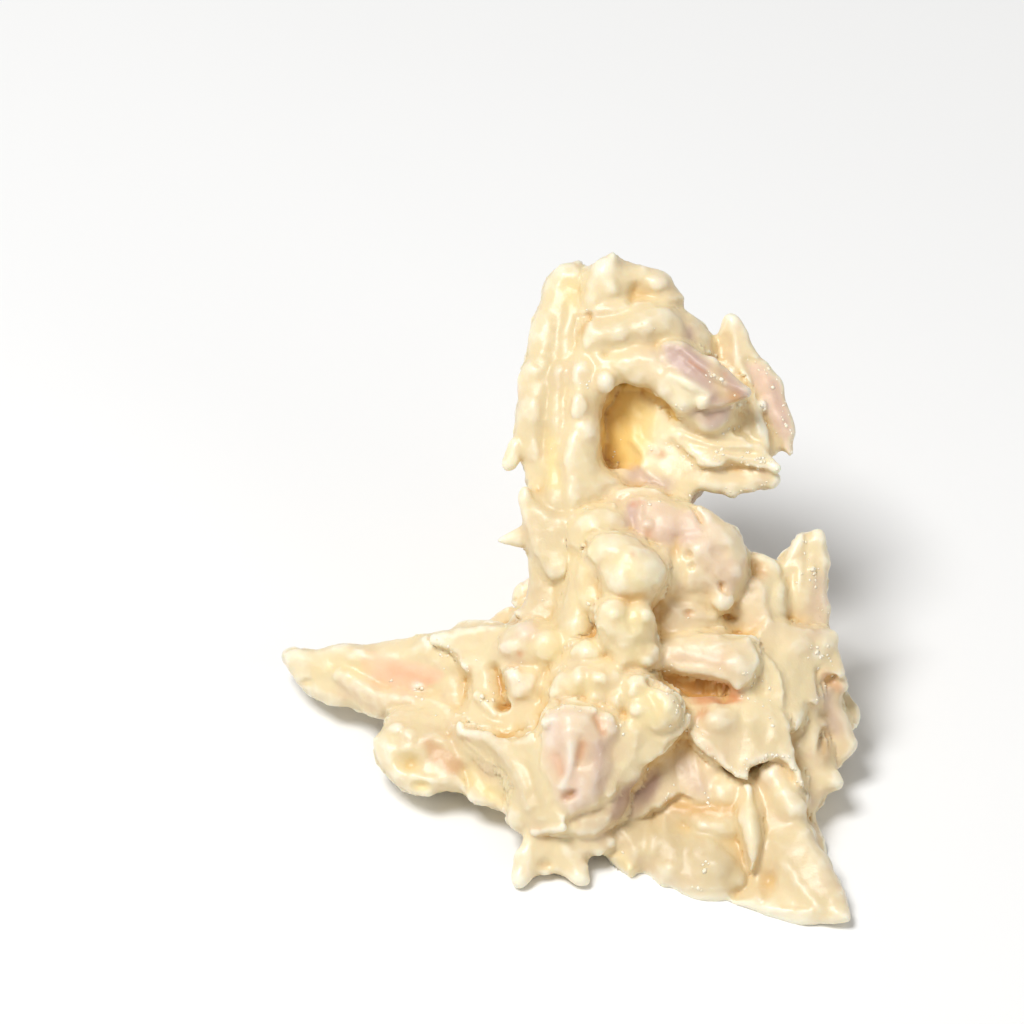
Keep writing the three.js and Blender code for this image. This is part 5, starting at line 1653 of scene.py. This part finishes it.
    def settle(self) -> None:
        """Flattens the sole and brings the number of faces within bounds."""
        points = read(self.obj.data)
        points[:, 2] = np.maximum(points[:, 2], 0)
        write(self.obj.data, points)
        before = len(self.triangles())
        _, open_share = self.seen(points)
        corners = np.empty(len(self.obj.data.loops), np.int32)
        self.obj.data.loops.foreach_get("vertex_index", corners)
        starts = np.empty(len(self.obj.data.polygons), np.int32)
        self.obj.data.polygons.foreach_get("loop_start", starts)
        edit(self.obj, open_share[corners[starts]] == 0)
        bpy.ops.mesh.decimate(ratio=self.hidden_share)
        leave()
        LOG.info("skin: %d triangles, %d kept so far", before, len(self.triangles()))
        share = self.most_faces / len(self.triangles())
        if share < 1:
            apply(self.obj, "DECIMATE", decimate_type="COLLAPSE", ratio=share)
        only(self.obj)
        bpy.ops.object.shade_smooth()
        LOG.info("skin: %d triangles", len(self.triangles()))

    def paint(self, regions: list[Region]) -> None:
        """Stores on the skin where nut shows through and where shade and glow are painted, and where it is
        hollow.

        Args:
            regions: The regions.
        """
        mesh = self.obj.data
        points, triangles, pairs = read(mesh), self.triangles(), self.pairs()
        face, open_share = self.seen(points)
        colour = np.zeros((len(points), 4))
        for region in regions:
            for form in region.forms():
                hue, shows = form.cover(points)
                if hue is not None:
                    self.lay(colour, hue, shows)
            for tint in region.tints:
                self.lay(colour, tint.hue, tint.shows(face[:, :2]) * open_share)
        # the nut layer holds the nut's own colours and also the painted shade of the tints and the painted
        # glow of the hollow's wall
        layer = mesh.attributes.new("nut", "FLOAT_COLOR", "POINT")
        layer.data.foreach_set("color", colour.ravel())
        normals = self.normals(points, triangles)
        smooth = points.copy()
        for name, rounds in (("crease", self.crease_rounds), ("dip", self.dip_rounds)):
            for _ in range(rounds):
                smooth += self.smoothing * self.pull(smooth, pairs)
            depth = ((smooth - points) * normals).sum(1) / MM
            layer = mesh.attributes.new(name, "FLOAT", "POINT")
            layer.data.foreach_set("value", depth)
        LOG.info("skin: painted")

    @staticmethod
    def lay(colour: np.ndarray, hue: Hue, shows: np.ndarray) -> None:
        """Lays a hue over colours that hold their cover and are multiplied by it, in place."""
        colour *= (1 - shows)[:, None]
        colour += shows[:, None] * np.array((*hue.value, 1.0))


# ---------------------------------------------------------------- finishes


class Wire:
    """A socket of a material; sums and products of wires add Math nodes."""

    def __init__(self, graph: "Graph", socket: bpy.types.NodeSocket) -> None:
        """Keeps the socket and the graph that it is in."""
        self.graph = graph
        self.socket = socket

    def joined(self, operation: str, first: "Wire | float", second: "Wire | float") -> "Wire":
        """The output of one Math node that works on two values."""
        return self.graph.node("ShaderNodeMath", {"operation": operation}, {0: first, 1: second})

    def __add__(self, other: "Wire | float") -> "Wire":
        """This plus the other."""
        return self.joined("ADD", self, other)

    __radd__ = __add__

    def __sub__(self, other: "Wire | float") -> "Wire":
        """This less the other."""
        return self.joined("SUBTRACT", self, other)

    def __rsub__(self, other: float) -> "Wire":
        """The other less this."""
        return self.joined("SUBTRACT", other, self)

    def __mul__(self, other: "Wire | float") -> "Wire":
        """This times the other."""
        return self.joined("MULTIPLY", self, other)

    __rmul__ = __mul__


class Graph:
    """The nodes of one material."""

    def __init__(self, name: str) -> None:
        """Starts a material with nothing but its output."""
        self.material = bpy.data.materials.new(name)
        self.material.use_nodes = True
        self.tree = self.material.node_tree
        self.tree.nodes.clear()
        self.place = self.node("ShaderNodeTexCoord", output="Object")

    def node(
        self,
        kind: str,
        settings: dict[str, object] | None = None,
        inputs: dict[int | str, object] | None = None,
        output: int | str = 0,
    ) -> Wire | None:
        """Adds a node.

        Args:
            kind: Its type.
            settings: Its own properties, set first.
            inputs: A value or a wire for each socket that isn't left as it is.
            output: The output that is used.

        Returns:
            That output, or None for a node that has none.
        """
        node = self.tree.nodes.new(kind)
        for name, value in (settings or {}).items():
            setattr(node, name, value)
        for key, value in (inputs or {}).items():
            if isinstance(value, Wire):
                self.tree.links.new(value.socket, node.inputs[key])
            else:
                node.inputs[key].default_value = value
        return Wire(self, node.outputs[output]) if len(node.outputs) else None

    def noise(self, spacing: float, detail: float = 3.0, rough: float = 0.55) -> Wire:
        """Noise round 0.5, spacing millimetres apart, with detail finer layers that are so rough."""
        inputs = {"Vector": self.place, "Scale": 1 / (spacing * MM), "Detail": detail,
                  "Roughness": rough}
        return self.node("ShaderNodeTexNoise", {}, inputs)

    def grade(self, value: Wire, low: float, high: float) -> Wire:
        """Goes smoothly from 0, where the value is low, to 1, where it is high."""
        settings = {"interpolation_type": "SMOOTHSTEP"}
        return self.node("ShaderNodeMapRange", settings, {0: value, 1: low, 2: high})

    def mix(self, share: Wire | float, first: object, second: object) -> Wire:
        """A colour between two, with this share of the second."""
        inputs = {"Factor": share, 6: self.colour(first), 7: self.colour(second)}
        return self.node("ShaderNodeMix", {"data_type": "RGBA"}, inputs, 2)

    def laid(self, colour: object, over: object, value: Wire, amounts: Point) -> Wire:
        """A colour with another over it: amounts is how much at most, and from where to where."""
        most, low, high = amounts
        return self.mix(most * self.grade(value, low, high), colour, over)

    @staticmethod
    def colour(value: object) -> object:
        """A wire as it is, or three parts with a full fourth."""
        return value if isinstance(value, Wire) else (*value, 1.0)

    def attribute(self, name: str, output: str) -> Wire:
        """A value that is stored on the mesh."""
        return self.node("ShaderNodeAttribute", {"attribute_name": name}, {}, output)

    def bump(self, height: Wire, strength: float, relief: float) -> Wire:
        """A normal turned by a height, where a height of 1 is so many millimetres of relief."""
        inputs = {"Strength": strength, "Distance": relief * MM, "Height": height}
        return self.node("ShaderNodeBump", {}, inputs)

    def finish(self, inputs: dict[str, object]) -> bpy.types.Material:
        """Adds the surface shader and the output.

        Args:
            inputs: A value or wire for each of the shader's sockets that is set.

        Returns:
            The material.
        """
        shader = self.node("ShaderNodeBsdfPrincipled", {}, inputs)
        self.node("ShaderNodeOutputMaterial", {}, {"Surface": shader})
        return self.material


@dataclass(frozen=True)
class ChocolateFinish:
    """Satin white chocolate, thin over the nuts, with painted shade in its dips and creases and painted
    highlights on its swellings and ridges.
    """

    cream: Point = linear(238, 219, 176)
    # painted highlight: the colour of swellings and ridges
    pale: Point = linear(255, 248, 226)
    # painted shade: the colour of broad dips
    warm: Point = linear(224, 188, 124)
    # painted shade: the colour of narrow creases
    amber: Point = linear(202, 142, 60)
    nut: Point = linear(231, 206, 168)
    white: Point = linear(255, 251, 240)
    broad: float = 9.0  # how far apart the broad patches, the small ones and the grain lie
    patch: float = 3.4
    fine: float = 0.7
    dust: float = 0.24
    nutty: Point = (0.36, 0.66)  # where on the broad patches the nut colour comes in
    plain: Point = (0.34, 0.62)  # and where on the small ones it goes again
    swellings: Point = (0.6, 0.1, 0.9)  # painted highlight on swellings: how pale at most, and where that comes in
    # painted highlight on small ridges: how pale at most, and where that comes in
    ridges: Point = (0.8, 0.02, 0.2)
    dips: Point = (0.85, 0.03, 0.85)  # how warm
    creases: Point = (0.65, 0.08, 0.36)  # how amber
    flecks: Point = (0.5, 0.66, 0.78)  # how white, and where on the grain they come in
    worn: Point = (0.0, 0.12)  # and how far up a ridge, as they lie only on convex places
    roughness: float = 0.31
    unevenness: float = 0.16  # how far the grain changes that
    bareness: float = 0.1  # how much rougher the places are that the nut layer covers: bare nut, and painted shade and glow
    density: float = 1.46
    scatter: float = 0.22
    depth: tuple[float, float, float] = (1.0, 0.62, 0.28)
    reach: float = 1.0
    grain: float = 0.2
    bump: float = 0.35
    relief: float = 0.4

    def material(self) -> bpy.types.Material:
        """Builds the material.

        Returns:
            The material.
        """
        graph = Graph("white_chocolate")
        crease = graph.attribute("crease", "Fac")
        dip = graph.attribute("dip", "Fac")
        broad = graph.noise(self.broad, 2.0)
        patch = graph.noise(self.patch, 3.0)
        fine = graph.noise(self.fine, 4.0, 0.6)
        colour = graph.mix(graph.grade(broad, *self.nutty), self.cream, self.nut)
        colour = graph.mix(graph.grade(patch, *self.plain), colour, self.cream)
        # painted highlight: paler on broad swellings and on small ridges
        colour = graph.laid(colour, self.pale, 0.0 - dip, self.swellings)
        colour = graph.laid(colour, self.pale, 0.0 - crease, self.ridges)
        # how strongly the nut layer covers: bare nut, and also painted shade and glow
        bare = graph.attribute("nut", "Alpha")
        keep = {0: colour, "Scale": 1 - bare}
        under = graph.node("ShaderNodeVectorMath", {"operation": "SCALE"}, keep)
        shown = {0: under, 1: graph.attribute("nut", "Color")}
        colour = graph.node("ShaderNodeVectorMath", {"operation": "ADD"}, shown)
        # painted shade: tinted in dips and creases
        colour = graph.laid(colour, self.warm, dip, self.dips)
        colour = graph.laid(colour, self.amber, crease, self.creases)
        most, low, high = self.flecks
        flecks = graph.grade(fine, low, high) * graph.grade(0.0 - crease, *self.worn)
        colour = graph.mix(most * flecks, colour, self.white)
        rough = self.roughness + self.unevenness * (fine - 0.5) + self.bareness * bare
        height = self.grain * fine + 0.5 * self.grain * graph.noise(self.dust, 2.0)
        bump = graph.bump(height, self.bump, self.relief)
        return graph.finish({
            "Base Color": colour, "Roughness": rough, "Normal": bump, "IOR": self.density,
            "Subsurface Weight": self.scatter, "Subsurface Radius": self.depth,
            "Subsurface Scale": self.reach * MM,
        })


@dataclass(frozen=True)
class CrumbFinish:
    """Dry white crumbs and flakes of chocolate."""

    white: Point = linear(255, 248, 230)
    cream: Point = linear(250, 238, 208)
    fine: float = 0.5
    creamy: Point = (0.4, 0.6)  # where on the grain the cream comes in
    roughness: float = 0.55
    unevenness: float = 0.2
    bump: float = 0.4
    relief: float = 0.2

    def material(self) -> bpy.types.Material:
        """Builds the material.

        Returns:
            The material.
        """
        graph = Graph("chocolate_crumbs")
        fine = graph.noise(self.fine, 3.0)
        colour = graph.mix(graph.grade(fine, *self.creamy), self.white, self.cream)
        bump = graph.bump(fine, self.bump, self.relief)
        rough = self.roughness + self.unevenness * (fine - 0.5)
        return graph.finish({"Base Color": colour, "Roughness": rough, "Normal": bump})


# ---------------------------------------------------------------- crumbs


@dataclass
class Crumbs:
    """White crumbs and small flakes that stick to the torn edges."""

    spots: str = (  # right, rise and size
        "18.2 17.5 0.5, 16.4 23.4 0.5, 17.2 22.9 0.4, 22 20.2 0.6, 27.6 1.6 0.45, 27.9 -7.6 0.5, "
        "28.3 -8.2 0.35, 15 -31.5 0.55, 14.4 -33.5 0.45, -9.5 -12.5 0.5, -16.9 -11.6 0.5, "
        "20.3 13.4 0.4, 17.4 15.1 0.4, 21.8 13.7 0.35, 12.8 19.6 0.35, 5.4 14.9 0.3, 9.2 8.9 0.35, "
        "14.8 8.7 0.35, 20.8 -10.2 0.4, 22.6 -18.8 0.35, 19.8 -20.4 0.4, 15.6 -23.6 0.35, "
        "11.2 -23.2 0.35, 2.2 22.4 0.3, -5.6 -9.2 0.35, -13 -7.6 0.35, -14.2 -6.8 0.3, "
        "25.4 14.8 0.35, 24.6 18 0.3, 13.2 -16.2 0.35, 12 -14 0.4, 10.8 -9.6 0.35"
    )
    edges: tuple[str, ...] = (  # torn edges that they line
        "9.4 14.9, 10.7 16, 12.3 15.7, 13.9 14.1, 16.5 13.7, 18.6 13.9, 20.7 14.6, 22.8 13.4, 23.6 12.8",
        "13.9 9.6, 15.4 10.5, 18.6 10.5, 22.8 11.3",
        "20.7 25, 23.7 23.1, 24.7 19.9, 25.3 15.4",
        "26.6 5.2, 27.4 2.4, 29.2 -3.2",
        "27.4 -6.6, 28.8 -7.7, 29.9 -8.8, 29 -11.4, 27.7 -12.7",
        "19.9 -10.2, 22.1 -11.7, 21.6 -13.1, 19.4 -12.4",
        "25.9 -22, 23.9 -19.1, 21.9 -19, 19.8 -21, 17.9 -20.3, 16.4 -19.1, 14.4 -17.5",
        "-2.4 -14, 0.6 -13.3, 4.4 -14.1, 5.8 -16.4",
        "11 -15.9, 12.9 -14.6, 12.2 -12.4",
        "-14.6 -6.5, -12.4 -8, -11.2 -9.8",
    )
    main: float = 0.6  # the first crumb at a spot, as a share of the spot's size
    company: int = 4  # smaller ones round it
    company_shares: tuple[float, float] = (0.2, 0.5)
    spread: float = 0.7
    along: float = 1.3  # how many line each millimetre of an edge
    stray: float = 0.3  # how far they lie off it
    scattered: int = 50
    window: tuple[Point, Point] = ((-30.0, -35.0), (31.0, 36.0))  # where those may fall
    sizes: tuple[float, float] = (0.07, 0.24)
    squeeze: tuple[Point, Point] = ((0.7, 0.7, 0.4), (1.3, 1.3, 0.45))  # least and most, each way
    unevenness: float = 0.28
    bounds: tuple[float, float] = (0.6, 1.5)
    above: float = 40.0  # how far over the face they start to fall
    facing: float = 0.2  # the least that the skin has to face the viewer where one stays
    obj: bpy.types.Object | None = None

    def places(self, chance: np.random.Generator) -> list[Point]:
        """Draws where they fall and how large they are.

        Args:
            chance: What draws.

        Returns:
            (right, rise, size) of each.
        """
        places = []
        for right, rise, size in points_of(self.spots):
            places.append((right, rise, self.main * size))
            for _ in range(self.company):
                aside = chance.normal(scale=self.spread, size=2)
                share = chance.uniform(*self.company_shares)
                places.append((right + aside[0], rise + aside[1], share * size))
        for edge in self.edges:
            line = rounded(points_of(edge), 1 / self.along, closed=False)
            for right, rise in line + chance.normal(scale=self.stray, size=line.shape):
                places.append((right, rise, chance.uniform(*self.sizes)))
        for _ in range(self.scattered):
            right, rise = chance.uniform(*self.window)
            places.append((right, rise, chance.uniform(*self.sizes)))
        return places

    def build(self, skin: bpy.types.Object) -> None:
        """Models one crumb, and sets uneven copies of it on the skin.

        Args:
            skin: What they stick to.
        """
        chance = np.random.default_rng(SEED)
        places = self.places(chance)
        bpy.ops.object.select_all(action="DESELECT")
        bpy.ops.mesh.primitive_ico_sphere_add(subdivisions=1, radius=1.0)
        pattern = bpy.context.object
        shape = read(pattern.data)
        out = FACE.to_3x3() @ Vector((0, 0, 1))
        copies = []
        for right, rise, size in places:
            start = FACE @ Vector((right * MM, rise * MM, self.above * MM))
            hit, spot, normal, _ = skin.ray_cast(start, -out)
            if not hit or normal.dot(out) < self.facing:
                continue
            turn = normal.to_track_quat("Z", "Y").to_matrix().to_4x4()
            stretch = chance.uniform(*self.squeeze)
            copy = pattern.copy()
            copy.data = pattern.data.copy()
            bpy.context.scene.collection.objects.link(copy)
            bumps = 1 + self.unevenness * chance.normal(size=(len(shape), 1))
            write(copy.data, shape * np.clip(bumps, *self.bounds) * stretch)
            copy.data.transform(Matrix.Translation(spot) @ turn @ Matrix.Scale(size * MM, 4))
            copies.append(copy)
        bpy.data.objects.remove(pattern)
        only(copies[0])
        for copy in copies:
            copy.select_set(True)
        bpy.ops.object.join()
        self.obj = bpy.context.object
        self.obj.name = "chocolate_crumbs"
        bpy.ops.object.shade_smooth()
        LOG.info("crumbs: %d", len(copies))


# ---------------------------------------------------------------- studio


@dataclass(frozen=True)
class Studio:
    """A pale floor, soft light from above and the left, and the camera."""

    target: Point = (-6.6, 2.41, 30.2)
    distance: float = 700.0
    view_width: float = 113.8  # what the picture spans at the target, in millimetres
    sensor: float = 36.0
    ambient: float = 0.35
    key: float = 4.9
    key_size: float = 0.28
    key_place: Point = (-0.26, -0.16, 0.72)
    fill: float = 0.45
    fill_place: Point = (0.5, -0.45, 0.35)
    floor_size: float = 6.0
    floor_tones: tuple[Point, Point] = ((0.92, 0.92, 0.915), (0.94, 0.94, 0.935))
    floor_patches: float = 60.0
    floor_roughness: float = 0.7
    sky: Point = (1.0, 0.995, 0.985, 1.0)
    aim: Point = (0.0, 0.0, 0.02)  # where the lights point, in metres
    nearest: float = 0.01  # what the camera sees starts here, in metres

    def camera(self) -> None:
        """Adds the camera at the photograph's height."""
        data = bpy.data.cameras.new("camera")
        data.sensor_width = self.sensor
        data.lens = self.sensor * self.distance / self.view_width
        data.clip_start = self.nearest
        camera = bpy.data.objects.new("camera", data)
        bpy.context.scene.collection.objects.link(camera)
        angle = math.radians(VIEW_HEIGHT)
        way = Vector((0, -math.cos(angle), math.sin(angle)))
        camera.location = (Vector(self.target) + way * self.distance) * MM
        camera.rotation_euler = way.to_track_quat("Z", "Y").to_euler()
        bpy.context.scene.camera = camera

    def light(self, name: str, place: Point, size: float, power: float) -> None:
        """Adds a soft square light that points at the cluster.

        Args:
            name: Its name.
            place: Where it stands, in metres.
            size: Its side, in metres.
            power: Its power, in watts.
        """
        data = bpy.data.lights.new(name, "AREA")
        data.energy = power
        data.size = size
        lamp = bpy.data.objects.new(name, data)
        bpy.context.scene.collection.objects.link(lamp)
        lamp.location = place
        aim = Vector(place) - Vector(self.aim)
        lamp.rotation_euler = aim.to_track_quat("Z", "Y").to_euler()

    def build(self) -> None:
        """Sets up the floor, the lights, the sky and the camera."""
        bpy.ops.object.select_all(action="DESELECT")
        bpy.ops.mesh.primitive_plane_add(size=self.floor_size)
        floor = bpy.context.object
        floor.name = "floor"
        graph = Graph("pale_floor")
        tone = graph.mix(graph.noise(self.floor_patches), *self.floor_tones)
        inputs = {"Base Color": tone, "Roughness": self.floor_roughness}
        floor.data.materials.append(graph.finish(inputs))
        self.light("key", self.key_place, self.key_size, self.key)
        self.light("fill", self.fill_place, self.key_size, self.fill)
        world = bpy.data.worlds.new("sky")
        world.use_nodes = True
        sky = world.node_tree.nodes["Background"]
        sky.inputs["Color"].default_value = self.sky
        sky.inputs["Strength"].default_value = self.ambient
        bpy.context.scene.world = world
        bpy.context.scene.view_settings.view_transform = "Standard"
        self.camera()


# ---------------------------------------------------------------- the whole


@dataclass
class Cluster:
    """The whole cluster: its regions, the skin over them and the crumbs on it."""

    regions: tuple[Region, ...]
    skin: Skin
    crumbs: Crumbs

    def build(self) -> None:
        """Models the cluster and dresses it."""
        heart = self.skin.heart(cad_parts[NODE])
        parts = [heart] + [part for region in self.regions for part in region.build()]
        self.skin.join(parts)
        self.skin.melt()
        self.skin.carve(self.regions)
        self.skin.roughen()
        self.skin.settle()
        self.skin.paint(self.regions)
        self.crumbs.build(self.skin.obj)
        for obj, finish in ((self.skin.obj, ChocolateFinish()), (self.crumbs.obj, CrumbFinish())):
            obj.data.materials.clear()
            obj.data.materials.append(finish.material())
            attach(obj, BODY)
        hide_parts(NODE)


def main() -> None:
    """Builds the cluster and the studio."""
    logging.basicConfig(level=logging.INFO, format="%(name)s: %(message)s")
    regions = (
        Arm(), Cap(), Hollow(), Spire(), Column(), Middle(), RightSide(), Shelf(), Bib(),
        Crown(), Front(), Tongue(), Nest(), Foot(), Back(),
    )
    Cluster(regions, Skin(), Crumbs()).build()
    Studio().build()
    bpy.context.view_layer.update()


if __name__ == "__main__":
    main()
